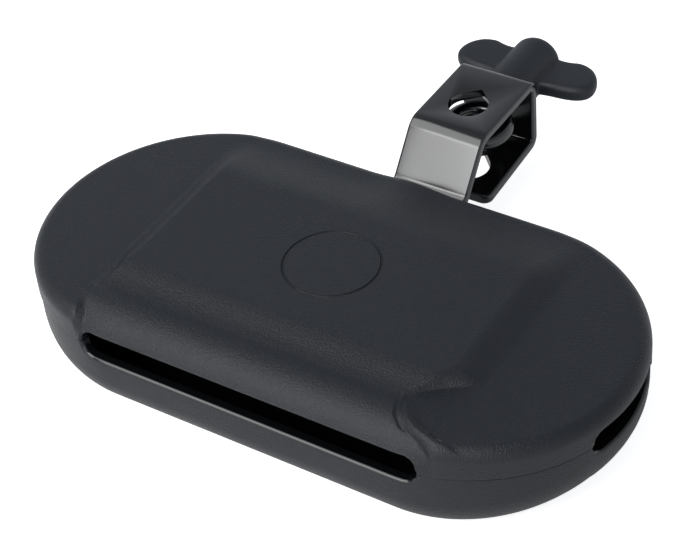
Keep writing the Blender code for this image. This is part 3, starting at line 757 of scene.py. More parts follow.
@dataclass(frozen=True)
class Spacing:
    """How close together the stations round the outline lie, and the rings of each skin.

    Attributes:
        front: step along the middle of the front slot, and end: along an end slot.
        curl: step near the curled fold inside the front slot's reach, and past_curl: beyond it.
        curl_span: where the finer steps start and stop.
        side: step from there to the end slot, and rear: behind the end slot.
        slot_corner: stations round a quarter of a slot's end.
        past_front: gap between the front slot's lip and the next station, and past_end: the end slot's.
        outer_rings: step between the rings of the outer top, and inner_rings: of the inner one.
        outer_rim: rings round the outer top's rim, and inner_rim: round the inner one's.
        outer_bowl: rings down the lower shell's outer rounding, and inner_bowl: down its inner one.
        wall_shares: heights of the rings between the edge and the rim, as shares.
        wall_rise: least rise of those rings in all.
        floor_share: step between the floor's rings, as a share of its half width.
    """

    front: float = 3.0 * MM
    end: float = 1.2 * MM
    curl: float = 0.3 * MM
    past_curl: float = 0.4 * MM
    curl_span: Point = (36.0 * MM, 68.0 * MM)
    side: float = 1.5 * MM
    rear: float = 1.6 * MM
    slot_corner: int = 12
    past_front: float = 0.15 * MM
    past_end: float = 0.2 * MM
    outer_rings: float = 0.4 * MM
    inner_rings: float = 2.4 * MM
    outer_rim: int = 12
    inner_rim: int = 3
    outer_bowl: int = 16
    inner_bowl: int = 6
    wall_shares: tuple[float, ...] = (0.25, 0.5, 0.75)
    wall_rise: float = 0.1 * MM
    floor_share: float = 0.2


@dataclass(frozen=True)
class BlockShells:
    """The two shells of the block, lofted round its outline.

    Attributes:
        top: heights of the upper surface.
        spacing: how fine the meshes are.
        width: width of the block, and length: its length.
        depth: height of the joint between the shells.
        wall: thickness of the walls.
        step_in: how far the lower shell stands back from the upper one.
        gap: gap between the shells, and round the strap's tab.
        rim_radius: rounding of the upper shell's rim, least_rim: its least rounding inside.
        nose_radius: radius of the nose over the front slot.
        side_across: width of the lower shell's rounding along the sides, side_up: its height, and
            end_round: both at the middle of the ends.
        lip: rounding of the slots' lips, and lip_steps: its strips.
        front_slot: half length and half height of the front slot, and end_slot: of the end slots.
        top_core: how near the middle line the top's rings come, floor_core: how near the floor's come,
            and least_wall: least height of the lower wall under its edge.
        ring: centre, radius, half width and sunk depth of the ring that is cut in the top.
        post: radius of the upper shell's posts, boss: of the lower one's, pedestal: of the tab's seats.
        pillar_edge: rounding of their ends, and mouth_edge: rounding of the recesses' mouths.
        tab_seat: how far below the joint the tab's seats end.
        pilot: radius of the screws' holes, and pilot_up: how far up the posts they reach.
        screw_recess: radius and top of the screws' recesses, and bolt_recess: of the bolts'.
        bolt_bore: radius of the bolts' holes.
        screws_mm: (x, y) of the screws.
        inside_turn: how far a face looks inwards when it is part of the inner skin.
        lip_turn: how far a face looks up or down when it is part of a lip, and lip_share: how much of
            the lip's rounding is glossy.
        front_share: share of the radius beyond which a place belongs to the front.
        upper_angle: angle past which the upper shell's edges are sharp, and lower_angle: the lower's.
    """

    top: Top = field(default_factory=Top)
    spacing: Spacing = field(default_factory=Spacing)
    width: float = 97.0 * MM
    length: float = 190.0 * MM
    depth: float = JOINT_HEIGHT
    wall: float = 3.0 * MM
    step_in: float = 0.33 * MM
    gap: float = 0.3 * MM
    rim_radius: float = 4.0 * MM
    least_rim: float = 1.0 * MM
    nose_radius: float = 11.5 * MM
    side_across: float = 11.5 * MM
    side_up: float = 11.35 * MM
    end_round: float = 18.5 * MM
    lip: float = 1.1 * MM
    lip_steps: int = 6
    front_slot: Point = (55.15 * MM, 4.05 * MM)
    end_slot: Point = (17.8 * MM, 3.9 * MM)
    top_core: float = 0.4 * MM
    floor_core: float = 2.0 * MM
    least_wall: float = 0.5 * MM
    ring: tuple[float, float, float, float] = (1.3 * MM, 14.1 * MM, 0.38 * MM, 0.02 * MM)
    post: float = 4.2 * MM
    boss: float = 5.6 * MM
    pedestal: float = 7.6 * MM
    pillar_edge: float = 0.3 * MM
    mouth_edge: float = 0.35 * MM
    tab_seat: float = 1.8 * MM
    pilot: float = 2.05 * MM
    pilot_up: float = 6.6 * MM
    screw_recess: Point = (4.0 * MM, 13.4 * MM)
    bolt_recess: Point = (5.2 * MM, 5.3 * MM)
    bolt_bore: float = 2.8 * MM
    screws_mm: tuple[Point, ...] = ((-64, -23), (64, -23), (-64, 23), (64, 23), (-30, 32), (30, 32))
    inside_turn: float = -0.15
    lip_turn: float = 0.35
    lip_share: float = 0.75
    front_share: float = 0.8
    upper_angle: float = 65.0
    lower_angle: float = 40.0

    @property
    def radius(self) -> float:
        """Radius of the round ends in plan."""
        return self.width / 2

    @property
    def straight(self) -> float:
        """Half length of the straight sides."""
        return (self.length - self.width) / 2

    @property
    def side(self) -> float:
        """Distance along the outline from the front's middle to an end's middle."""
        return self.straight + self.radius * math.pi / 2

    @property
    def slots(self) -> tuple[Slot, ...]:
        """The front slot and the two end slots."""
        return Slot(0.0, *self.front_slot), Slot(self.side, *self.end_slot), Slot(-self.side, *self.end_slot)

    @property
    def screws(self) -> list[Point]:
        """Places of the six screws, in metres."""
        return [(x * MM, y * MM) for x, y in self.screws_mm]

    def point(self, along: float, inset: float) -> Vector:
        """Place on the outline in plan.

        Args:
            along: how far round it lies, from the middle of the front, below 0 on the left.
            inset: how far in from the outline it lies.

        Returns:
            Its (x, y).
        """
        side, run = (1 if along >= 0 else -1), abs(along)
        if run <= self.straight:
            return Vector((along, inset - self.radius))
        if run >= 2 * self.side - self.straight:
            return Vector((side * (2 * self.side - run), self.radius - inset))
        a, r = (run - self.straight) / self.radius, self.radius - inset
        return Vector((side * (self.straight + r * math.sin(a)), -r * math.cos(a)))

    def slot_stations(self, slot: Slot) -> list[Station]:
        """Stations along a slot and round its two ends.

        Args:
            slot: the slot.

        Returns:
            The stations, in no order.
        """
        fine, found = self.spacing, []
        straight = slot.half_length - slot.half_height
        for side in (-1, 1):
            for step in range(1, fine.slot_corner + 1):
                a = math.radians(90 * step / fine.slot_corner)
                along = slot.middle + side * (straight + slot.half_height * math.sin(a))
                edge = max(self.gap / 2, slot.half_height * math.cos(a))
                found.append(Station(along, edge, self.lip, side * math.sin(a)))
        inner = spread(0.0, straight, fine.end)
        if slot.middle == 0.0:
            start = fine.curl_span[0]
            inner = [*spread(0.0, start, fine.front), *spread(start, straight, fine.curl)[1:]]
        for along in {side * x for x in inner for side in (-1, 1)}:
            found.append(Station(slot.middle + along, slot.half_height, self.lip))
        return found

    def stations(self) -> list[Station]:
        """Stations round the outline, closer together where the surface turns.

        Returns:
            The stations, from the middle of the rear round by the left and the front.
        """
        fine, side = self.spacing, self.side
        found = [station for slot in self.slots for station in self.slot_stations(slot)]
        curl_end, last = fine.curl_span[1], 2 * side - self.straight
        front_reach = self.front_slot[0] + self.lip + fine.past_front
        plain = [
            *spread(front_reach, curl_end, fine.past_curl),
            *spread(curl_end, side - self.end_slot[0] - self.lip - fine.past_end, fine.side)[1:],
            *spread(side + self.end_slot[0] + self.lip + fine.past_end, last, fine.rear),
            *spread(last, 2 * side, fine.rear)[1:-1],
        ]
        found += [Station(turn * along) for along in plain for turn in (-1, 1)]
        found.append(Station(2 * side))
        return sorted(found, key=lambda station: station.along)

    def faces_front(self, station: Station) -> bool:
        """Whether a station lies on the front half of the outline."""
        return abs(station.along) < self.side

    def nose_share(self, place: Vector, height: float) -> float:
        """How far the surface follows the round nose at a place."""
        return self.top.share(place.x, place.y) * ease(height / self.front_slot[1])

    def follow_nose(
        self, station: Station, inset: float, height: float, offset: float
    ) -> tuple[Vector, float]:
        """Moves a place on the plain wall or top to the nose, as far as the centre reaches there.

        Args:
            station: where it lies round the outline.
            inset: how far in from the outline it lies.
            height: its height above the joint.
            offset: how far inside the outer skin it lies.

        Returns:
            Its new (x, y), and its new height.
        """
        plain = self.point(station.along, inset)
        if not self.faces_front(station):
            return plain, height
        a = math.atan2(height, self.nose_radius - inset)
        r = self.nose_radius - offset - self.top.groove(plain.x, plain.y)
        nose, nose_height = self.point(station.along, self.nose_radius - r * math.cos(a)), r * math.sin(a)
        share = self.nose_share((plain + nose) / 2, height)
        return plain.lerp(nose, share), mix(height, nose_height, share)

    def lip_points(self, station: Station, offset: float, shell: Shell) -> list[Vector]:
        """Points round the lip of a shell's edge, from under it out to the wall.

        Args:
            station: where they lie round the outline.
            offset: how far inside the outer skin they lie. Only the outer skin has the lip.
            shell: which half.

        Returns:
            The points.
        """
        lip, steps = (station.lip if offset == 0 else 0.0), self.lip_steps
        points = []
        for step in range(steps + 1) if offset == 0 else (steps,):
            a = (1 - step / steps) * math.pi / 2
            rise = lip * (1 - math.sin(a))
            inset = offset + lip * (1 - math.cos(a))
            height = station.edge + rise * math.sqrt(1 - station.lean**2)
            along = station.along + rise * station.lean
            if shell is Shell.LOWER:
                place = self.point(along, self.step_in + inset)
                points.append(Vector((place.x, place.y, self.depth - height)))
                continue
            place = self.point(along, inset)
            if self.faces_front(station):
                reach = math.sqrt((self.nose_radius - offset) ** 2 - (station.edge + lip) ** 2)
                nose = self.point(along, self.nose_radius - reach + inset - offset)
                place = place.lerp(nose, self.nose_share((place + nose) / 2, station.edge + lip))
            points.append(Vector((place.x, place.y, self.depth + height)))
        return points

    def upper_column(self, station: Station, offset: float, rim_steps: int, rings: float) -> list[Vector]:
        """Points up the upper shell's skin, from its edge in to the middle of the top.

        Args:
            station: where they lie round the outline.
            offset: how far inside the outer skin they lie.
            rim_steps: how many points go round the rim.
            rings: step between the points on the top.

        Returns:
            The points.
        """
        column = self.lip_points(station, offset, Shell.UPPER)
        radius = max(self.rim_radius - offset, self.least_rim)
        plain: Section = []
        for step in range(rim_steps + 1):
            a = step / rim_steps * math.pi / 2
            plain.append((offset + radius * (1 - math.cos(a)), radius * (1 - math.sin(a))))
        plain += [(inset, 0.0) for inset in spread(offset + radius, self.nose_radius, rings)[1:]]
        first_height = column[-1].z - self.depth
        for number, (inset, below) in enumerate(plain):
            place = self.point(station.along, inset)
            level = self.top.end_level if self.faces_front(station) else self.top.level
            height = level(place.x, place.y) - offset - below
            if number == 0:
                for share in self.spacing.wall_shares:
                    least = first_height + share * self.spacing.wall_rise
                    wall, rise = self.follow_nose(station, inset, mix(first_height, height, share), offset)
                    column.append(Vector((wall.x, wall.y, self.depth + max(rise, least))))
            place, height = self.follow_nose(station, inset, height, offset)
            column.append(Vector((place.x, place.y, self.depth + height)))
        for inset in spread(self.nose_radius, self.radius - self.top_core, rings)[1:]:
            place = self.point(station.along, inset)
            height = self.top.level(place.x, place.y) - offset
            column.append(Vector((place.x, place.y, self.depth + height)))
        return column

    def lower_column(self, station: Station, offset: float, steps: int) -> list[Vector]:
        """Points down the lower shell's skin, from its edge to its floor.

        Args:
            station: where they lie round the outline.
            offset: how far inside the outer skin they lie.
            steps: how many points go round the rounding.

        Returns:
            The points.
        """
        shrink = self.step_in + offset
        column = self.lip_points(station, offset, Shell.LOWER)
        middle = self.point(station.along, 0.0)
        bulge = clamp((abs(middle.x) - self.straight) / self.radius) ** 2
        across = mix(self.side_across, self.end_round, bulge) - offset
        up = mix(self.side_up, self.end_round, bulge) - offset
        lip = station.lip if offset == 0 else 0.0
        up = min(up, self.depth - offset - station.edge - lip - self.least_wall)
        for step in range(steps + 1):
            a = step / steps * math.pi / 2
            place = self.point(station.along, shrink + across * (1 - math.cos(a)))
            column.append(Vector((place.x, place.y, offset + up * (1 - math.sin(a)))))
        for share in spread(0.0, 1.0, self.spacing.floor_share)[1:]:
            place = self.point(station.along, mix(shrink + across, self.radius - self.floor_core, share))
            column.append(Vector((place.x, place.y, offset)))
        return column

    def shell(self, shell: Shell) -> Piece:
        """Lofts one shell, its inner skin, edge and outer skin in one piece.

        Args:
            shell: which half.

        Returns:
            The shell, with the grained finish outside and the glossy one inside and on its slot lips.
        """
        fine, columns = self.spacing, []
        for station in self.stations():
            if shell is Shell.UPPER:
                inner = self.upper_column(station, self.wall, fine.inner_rim, fine.inner_rings)
                outer = self.upper_column(station, 0.0, fine.outer_rim, fine.outer_rings)
            else:
                inner = self.lower_column(station, self.wall, fine.inner_bowl)
                outer = self.lower_column(station, 0.0, fine.outer_bowl)
            columns.append([*reversed(inner), *outer])
        piece = loft(shell.value + "_moulding", columns)
        self.mark_layers(piece)
        return piece

    def mark_layers(self, piece: Piece) -> None:
        """Sets which faces have the glossy finish: the inner skin and the lips of the slots.

        Args:
            piece: the shell.
        """
        lip_height = self.front_slot[1] + self.lip_share * self.lip
        for polygon in piece.data.polygons:
            centre, normal = polygon.center, polygon.normal
            core = Vector((clamp(centre.x, -self.straight, self.straight), 0.0, self.depth))
            inside = normal.dot((centre - core).normalized()) < self.inside_turn
            low = abs(centre.z - self.depth) < lip_height
            lip = low and abs(normal.z) > self.lip_turn and self.in_slot(centre)
            polygon.material_index = Layer.GLOSSY.value if inside or lip else Layer.GRAINED.value

    def in_slot(self, place: Vector) -> bool:
        """Whether a point lies within a slot's length, lip included.

        Args:
            place: the point.

        Returns:
            True in front of the front slot, or round an end beside an end slot.
        """
        if place.y < -self.front_share * self.radius and abs(place.x) < self.front_slot[0] + self.lip:
            return True
        angle = math.atan2(place.y, abs(place.x) - self.straight)
        return abs(place.x) > self.straight and abs(angle) * self.radius < self.lip + self.end_slot[0]

    def pillar(
        self, name: str, place: Point, radius: float, ends: Point, free: float, around: Around
    ) -> Piece:
        """Round post, boss or seat, its free end eased.

        Args:
            name: the piece's name.
            place: (x, y) of its axis.
            radius: its radius.
            ends: heights of its underside and its upper side.
            free: which of them is its free end.
            around: how many sides it has.

        Returns:
            The pillar.
        """
        pillar = barrel(name, place, radius, *ends, around)
        rims(pillar, at_height(free), self.pillar_edge)
        return pillar

    def pillars(self, shell: Shell) -> list[Piece]:
        """Posts or bosses inside a shell, and the seats under the strap's tab.

        Args:
            shell: which half.

        Returns:
            The pillars.
        """
        foot = self.wall / 2
        made = []
        for number, (x, y) in enumerate(self.screws):
            if shell is Shell.UPPER:
                free, roof = self.depth + self.gap / 2, self.depth + self.top.level(x, y) - foot
                made.append(self.pillar(f"post_{number}", (x, y), self.post, (free, roof), free, Around.POST))
            else:
                free = self.depth - self.gap / 2
                made.append(self.pillar(f"boss_{number}", (x, y), self.boss, (foot, free), free, Around.POST))
        for number, y in enumerate(TAB_BOLTS if shell is Shell.LOWER else ()):
            seat = self.depth - self.tab_seat
            name, spot, ends = f"pedestal_{number}", (0.0, y), (foot, seat)
            made.append(self.pillar(name, spot, self.pedestal, ends, seat, Around.HOLE))
        return made

    def drill(self, piece: Piece, radius: float, low: float, high: float, places: Sequence[Point]) -> None:
        """Bores a piece at several places, from one height to another."""
        for place in places:
            cut(piece, barrel("drill", place, radius, low, high, Around.HOLE))

    def ease_mouths(self, piece: Piece, radius: float, places: Sequence[Point]) -> None:
        """Rounds the mouths of recesses in the underside.

        Args:
            piece: the lower shell.
            radius: the recesses' radius.
            places: (x, y) of their axes.
        """

        def on_mouth(a: Vector, b: Vector) -> bool:
            """Tests an edge for the mouth of a recess.

            Args:
                a: one end of the edge.
                b: its other end.

            Returns:
                True where it lies on a mouth.
            """
            level = max(abs(a.z), abs(b.z)) <= LEVEL_SLACK
            return level and any(
                all(abs((end.xy - centre).length - radius) < RIM_SLACK for end in (a, b))
                for centre in map(Vector, places)
            )

        rims(piece, on_mouth, self.mouth_edge)

    def passage(self) -> Piece:
        """Space that the strap needs through the rear wall.

        Returns:
            The space, as a solid.
        """
        inside = self.radius - self.wall - self.step_in - self.gap
        tool = take("cube", "passage", size=1.0)
        reach = 2 * self.wall + self.radius - inside
        tool.scale = (BAR_WIDTH + 2 * self.gap, reach, BAR_THICKNESS + 2 * self.gap)
        tool.location = (0.0, inside + tool.scale.y / 2, self.depth)
        return settle(tool)

    def build_upper(self, palette: Palette) -> None:
        """Builds the upper shell and mounts it in place of the CAD one.

        Args:
            palette: the finishes.
        """
        upper = self.shell(Shell.UPPER)
        for post in self.pillars(Shell.UPPER):
            cut(upper, post, "UNION")
        centre_y, radius, half_width, sunk = self.ring
        centre = (0.0, centre_y, self.depth + self.top.plateau - sunk)
        cut(upper, hoop("ring_groove", centre, radius, half_width, Around.RING, 16))
        self.drill(upper, self.pilot, self.depth - OVERCUT, self.depth + self.pilot_up, self.screws)
        cut(upper, self.passage())
        smooth(upper, self.upper_angle)
        mount(dress(upper, palette.grained, palette.polished), "block", "shell_plastic", "upper_shell")

    def build_lower(self, palette: Palette) -> None:
        """Builds the lower shell and mounts it in place of the CAD one.

        Args:
            palette: the finishes.
        """
        bolts = [(0.0, y) for y in TAB_BOLTS]
        lower = self.shell(Shell.LOWER)
        for boss in self.pillars(Shell.LOWER):
            cut(lower, boss, "UNION")
        self.drill(lower, self.screw_recess[0], -OVERCUT, self.screw_recess[1], self.screws)
        self.drill(lower, self.pilot, -OVERCUT, self.depth + OVERCUT, self.screws)
        self.drill(lower, self.bolt_recess[0], -OVERCUT, self.bolt_recess[1], bolts)
        self.drill(lower, self.bolt_bore, -OVERCUT, self.depth + OVERCUT, bolts)
        self.ease_mouths(lower, self.screw_recess[0], self.screws)
        self.ease_mouths(lower, self.bolt_recess[0], bolts)
        cut(lower, self.passage())
        smooth(lower, self.lower_angle)
        mount(dress(lower, palette.grained, palette.polished), "block", "shell_plastic", "lower_shell")


# The clamp.


@dataclass(frozen=True)
class Strap:
    """The clamp's strap, bent from one flat bar, with its rod hole in the top plate and in the leaf.

    Attributes:
        joint: height of the joint between the shells, which the tab lies in.
        axis: height of the clamp's axis above it.
        width: width of the bar, and thickness: its thickness.
        edge: rounding of its long edges, and corner: of its free corners.
        tab_start: where the tab starts.
        ramp_foot: where the ramp starts, and ramp_top: where it ends.
        plate_height: height of the top plate above the joint.
        end_plate: where the strap ends at the rear.
        leaf_end: where the lower leaf ends, and leaf_rear: its height at the rear.
        gentle: radius of the ramp's bends, and tight: of the rear ones.
        hole_y: place of the rod hole, hole_radius: its radius, and hole_edge: rounding of its edge.
        shank_hole: radius of the eye bolt's hole, and bolt_hole: of the tab's holes.
        smooth_angle: angle past which its edges are sharp.
    """

    joint: float = JOINT_HEIGHT
    axis: float = 5.3 * MM
    width: float = BAR_WIDTH
    thickness: float = BAR_THICKNESS
    edge: float = 0.9 * MM
    corner: float = 2.5 * MM
    tab_start: float = 13.0 * MM
    ramp_foot: float = 55.76 * MM
    ramp_top: float = 67.96 * MM
    plate_height: float = 17.0 * MM
    end_plate: float = 102.0 * MM
    leaf_end: Point = (69.7 * MM, -9.17 * MM)
    leaf_rear: float = -6.8 * MM
    gentle: float = 5.5 * MM
    tight: float = 2.6 * MM
    hole_y: float = 80.9 * MM
    hole_radius: float = 6.2 * MM
    hole_edge: float = 0.25 * MM
    shank_hole: float = 3.3 * MM
    bolt_hole: float = 2.8 * MM
    smooth_angle: float = 32.0

    def bend(
        self, before: Vector, corner: Vector, after: Vector, radius: float, steps: int = 20
    ) -> list[Vector]:
        """Round bend at a corner of the strap's middle line.

        Args:
            before: the corner before it.
            corner: the corner.
            after: the corner after it.
            radius: the bend's radius.
            steps: how many strips it has.

        Returns:
            Its points.
        """
        back, on = (before - corner).normalized(), (after - corner).normalized()
        half_turn = (math.pi - back.angle(on)) / 2
        centre = corner + (back + on).normalized() * (radius / math.cos(half_turn))
        start = corner + back * radius * math.tan(half_turn) - centre
        end = corner + on * radius * math.tan(half_turn) - centre
        whole = start.angle(end)
        arc = []
        for i in range(steps + 1):
            t = i / steps
            turned = start * math.sin((1 - t) * whole) + end * math.sin(t * whole)
            arc.append(centre + turned / math.sin(whole))
        return arc

    def path(self) -> list[Vector]:
        """Middle line in the Y Z plane, from the tab's hidden end to the leaf's free end.

        Returns:
            Its points.
        """
        half = self.thickness / 2
        corners = [
            Vector((self.tab_start, 0.0)),
            Vector((self.ramp_foot, 0.0)),
            Vector((self.ramp_top, self.plate_height - half)),
            Vector((self.end_plate - half, self.plate_height - half)),
            Vector((self.end_plate - half, self.leaf_rear)),
            Vector(self.leaf_end),
        ]
        line = [corners[0]]
        for i, radius in enumerate((self.gentle, self.gentle, self.tight, self.tight), start=1):
            line += self.bend(corners[i - 1], corners[i], corners[i + 1], radius)
        return [*line, corners[-1]]

    def section(self, half_width: float, steps: int = 5) -> Section:
        """Cross-section of the bar, with its long edges rounded.

        Args:
            half_width: half of its width.
            steps: how many strips each edge has.

        Returns:
            Its points, across the bar and out of its surface.
        """
        half, points = self.thickness / 2, []
        for x_side, z_side, first in ((1, 1, 0), (-1, 1, 90), (-1, -1, 180), (1, -1, 270)):
            for step in range(steps + 1):
                a = math.radians(first + 90 / steps * step)
                across = x_side * (half_width - self.edge) + self.edge * math.cos(a)
                points.append((across, z_side * (half - self.edge) + self.edge * math.sin(a)))
        return points

    def teardrop(self, steps: int = 48) -> Section:
        """Rod hole: a circle whose tangents meet in a square notch behind it.

        Args:
            steps: how many sides stand in for the circle's arc.

        Returns:
            Its (x, y) points.
        """
        r, points = self.hole_radius, []
        for i in range(steps + 1):
            a = math.pi * (0.75 + 1.5 * i / steps)
            points.append((r * math.cos(a), self.hole_y + r * math.sin(a)))
        return [*points, (0.0, self.hole_y + r * math.sqrt(2))]

    def bar(self, corner_steps: int = 8) -> Piece:
        """The bent bar before its holes are punched.

        Args:
            corner_steps: how many strips its free corners have.

        Returns:
            The bar.
        """
        line = self.path()
        back = (line[-2] - line[-1]).normalized()
        rings = [(point, self.width / 2) for point in line[:-1]]
        for step in range(corner_steps + 1):
            a = math.radians(90 * step / corner_steps)
            shrink = self.corner * (1 - math.cos(a))
            rings.append((line[-1] + back * self.corner * (1 - math.sin(a)), self.width / 2 - shrink))
        columns: list[list[Vector]] = [[] for _ in self.section(1.0)]
        for i, (place, half_width) in enumerate(rings):
            ahead = (rings[min(i + 1, len(rings) - 1)][0] - rings[max(i - 1, 0)][0]).normalized()
            out = Vector((-ahead.y, ahead.x))
            for column, (across, rise) in zip(columns, self.section(half_width)):
                point = place + out * rise
                column.append(Vector((across, point.x, self.joint + point.y)))
        return loft("bent_strap", columns)

    def break_hole_edges(self, bar: Piece) -> None:
        """Eases the sharp edges that the punch left round the rod hole.

        Args:
            bar: the punched bar.
        """
        outline = [Vector(point) for point in self.teardrop(96)]
        top = self.joint + self.plate_height

        def on_edge(a: Vector, b: Vector) -> bool:
            """Whether an edge runs round the hole in the top plate."""
            level = abs(a.z - top) <= RIM_SLACK and abs(b.z - top) <= RIM_SLACK
            return level and all(min((end.xy - o).length for o in outline) < self.hole_edge for end in (a, b))

        rims(bar, on_edge, self.hole_edge)

    def on_axis(self, piece: Piece, y: float) -> Piece:
        """Turns a piece that was made upright so that it points back along the clamp's axis.

        Args:
            piece: the piece.
            y: where its underside comes to stand.

        Returns:
            The same piece.
        """
        piece.rotation_euler = (-math.pi / 2, 0.0, 0.0)
        piece.location = (0.0, y, self.joint + self.axis)
        return settle(piece)

    def build(self, palette: Palette) -> None:
        """Builds the strap and mounts it.

        Args:
            palette: the finishes.
        """
        bar = self.bar()
        low, high = self.joint - 2 * self.plate_height, self.joint + 2 * self.plate_height
        cut(bar, plate("rod_hole", self.teardrop(), low, high))
        low, high = self.joint - self.thickness, self.joint + self.thickness
        for y in TAB_BOLTS:
            cut(bar, barrel("bolt_hole", (0.0, y), self.bolt_hole, low, high, Around.HOLE))
        reach = (-2 * self.thickness, self.thickness)
        shank = barrel("shank_hole", (0.0, 0.0), self.shank_hole, *reach, Around.HEAD)
        cut(bar, self.on_axis(shank, self.end_plate))
        self.break_hole_edges(bar)
        mount(dress(smooth(bar, self.smooth_angle), palette.lacquer), "block", "black_lacquer", "bracket")


@dataclass(frozen=True)
class EyeBolt:
    """Eye of round wire that draws the rod into the notches, with its threaded shank.

    Attributes:
        strap: the strap that it slides in.
        centre_y: place of the eye's centre.
        inner: radius of the eye's opening, and wire: radius of its wire.
        shank: radius of the shank, and end_y: where it ends.
        pitch: pitch of the thread, and thread_depth: its depth.
        plain_to: how far the shank is plain before the thread starts.
    """

    strap: Strap
    centre_y: float = 86.0 * MM
    inner: float = 6.5 * MM
    wire: float = 2.5 * MM
    shank: float = 3.0 * MM
    end_y: float = 119.0 * MM
    pitch: float = 1.0 * MM
    thread_depth: float = 0.5 * MM
    plain_to: float = 3.0 * MM

    def thread(self, around: int = 36, rows_per_turn: int = 10) -> Piece:
        """Threaded shank, upright from the eye's centre, its thread a helix on the rows of a lattice.

        Args:
            around: how many sides it has.
            rows_per_turn: how many rows one turn of the thread takes.

        Returns:
            The shank.
        """
        start, stop = self.inner + self.wire, self.end_y - self.centre_y
        rows = spread(start, stop, self.pitch / rows_per_turn)
        columns = []
        for i in range(around):
            turn = math.tau * (i / around)
            column = []
            for height in rows:
                phase = (height / self.pitch - i / around) % 1.0
                dip = 1 - abs(2 * phase - 1)
                starts = ease((height - start - self.plain_to) / self.pitch)
                ends = ease((stop - height) / self.pitch)
                radius = self.shank - self.thread_depth * (dip * starts * ends + (1 - ends))
                column.append(Vector((radius * math.cos(turn), radius * math.sin(turn), height)))
            columns.append(column)
        return loft("thread", columns)

    def build(self, palette: Palette) -> None:
        """Builds the eye bolt and mounts it.

        Args:
            palette: the finishes.
        """
        centre = (0.0, self.centre_y, self.strap.joint + self.strap.axis)
        eye = hoop("threaded_eye", centre, self.inner + self.wire, self.wire, Around.HUB, 32)
        cut(eye, self.strap.on_axis(self.thread(), self.centre_y), "UNION")
        mount(dress(smooth(eye), palette.lacquer), "eye_bolt", "black_lacquer", "eye_bolt")


@dataclass(frozen=True)
class WingNut:
    """Moulded wing nut: a domed hub with two paddles melted into it, and a bore for its brass insert.

    Attributes:
        strap: the strap that it stands behind.
        front_y: where its hub starts.
        hub_radius: radius of the hub, hub_length: its length, dome: rounding of its rear end, and
            hub_edge: rounding of its front end.
        half_span: half of its width over the paddles.
        thickness: thickness of the paddles, and edge: rounding of their rims.
        pocket: width of the insert's pocket across its flats, and pocket_depth: its depth.
        bore: radius of the bore, and bore_depth: its depth.
        voxel: fineness of the mesh in which hub and paddles melt together, and melts: how often it is
            smoothed.
        smooth_angle: angle past which its edges are sharp.
        paddle: knots of a paddle's outline: share of half_span across, millimetres back.
    """

    strap: Strap
    front_y: float = 103.8 * MM
    hub_radius: float = 8.1 * MM
    hub_length: float = 25.7 * MM
    dome: float = 4.6 * MM
    hub_edge: float = 0.5 * MM
    half_span: float = 24.3 * MM
    thickness: float = 5.4 * MM
    edge: float = 2.0 * MM
    pocket: float = 10.6 * MM
    pocket_depth: float = 9.3 * MM
    bore: float = 3.3 * MM
    bore_depth: float = 18.0 * MM
    voxel: float = 0.32 * MM
    melts: int = 5
    smooth_angle: float = 40.0
    paddle: tuple[Point, ...] = (
        *((0.0, 7.4), (0.50, 7.8), (0.80, 8.9), (0.96, 11.4), (1.00, 15.0)),
        *((0.95, 19.2), (0.82, 22.6), (0.64, 23.9), (0.45, 22.9), (0.0, 21.5)),
    )

    def outline(self, side: int, steps: int = 8) -> Section:
        """One paddle's outline, a round curve through its knots.

        Args:
            side: 1 or -1, for the side that it points to.
            steps: how many points each knot takes.

        Returns:
            Its points: across from the axis, and back from the hub's face.
        """
        knots = [Vector((share * self.half_span, y * MM)) for share, y in self.paddle]
        count, points = len(knots), []
        for i in range(count):
            a, b, c, d = (knots[(i + k) % count] for k in (-1, 0, 1, 2))
            for step in range(steps):
                t = step / steps
                bow = (2 * a - 5 * b + 4 * c - d) * (t * t / 2)
                p = b + (c - a) * (t / 2) + bow + (3 * b - a - 3 * c + d) * (t**3 / 2)
                points.append((side * p.x, p.y))
        return points

    def paddle_at(self, side: int) -> Piece:
        """One paddle with rounded rims, drawn flat and then stood up along the hub.

        Args:
            side: 1 or -1, for the side that it points to.

        Returns:
            The paddle.
        """
        half = self.thickness / 2
        paddle = plate(f"paddle_{side}", self.outline(side), -half, half)
        rims(paddle, lambda a, b: abs(a.z - b.z) < LEVEL_SLACK, self.edge, 6)
        paddle.rotation_euler = (math.pi / 2, 0.0, 0.0)
        return settle(paddle)

    def build(self, palette: Palette) -> None:
        """Builds the nut and mounts it.

        Args:
            palette: the finishes.
        """
        hub = barrel("moulded_wings", (0.0, 0.0), self.hub_radius, 0.0, self.hub_length, Around.HUB)
        rims(hub, at_height(self.hub_length), self.dome, 10)
        rims(hub, at_height(0.0), self.hub_edge, 3)
        for side in (-1, 1):
            cut(hub, self.paddle_at(side), "UNION")
        modify(hub, "REMESH", mode="VOXEL", voxel_size=self.voxel, use_smooth_shade=True)
        modify(hub, "SMOOTH", factor=0.5, iterations=self.melts)
        cut(hub, plate("pocket", hexagon(self.pocket), -OVERCUT, self.pocket_depth))
        cut(hub, barrel("bore", (0.0, 0.0), self.bore, self.pocket_depth / 2, self.bore_depth, Around.HEAD))
        self.strap.on_axis(hub, self.front_y)
        mount(dress(smooth(hub, self.smooth_angle), palette.nylon), "wing_nut", "wing_plastic", "wing_nut")


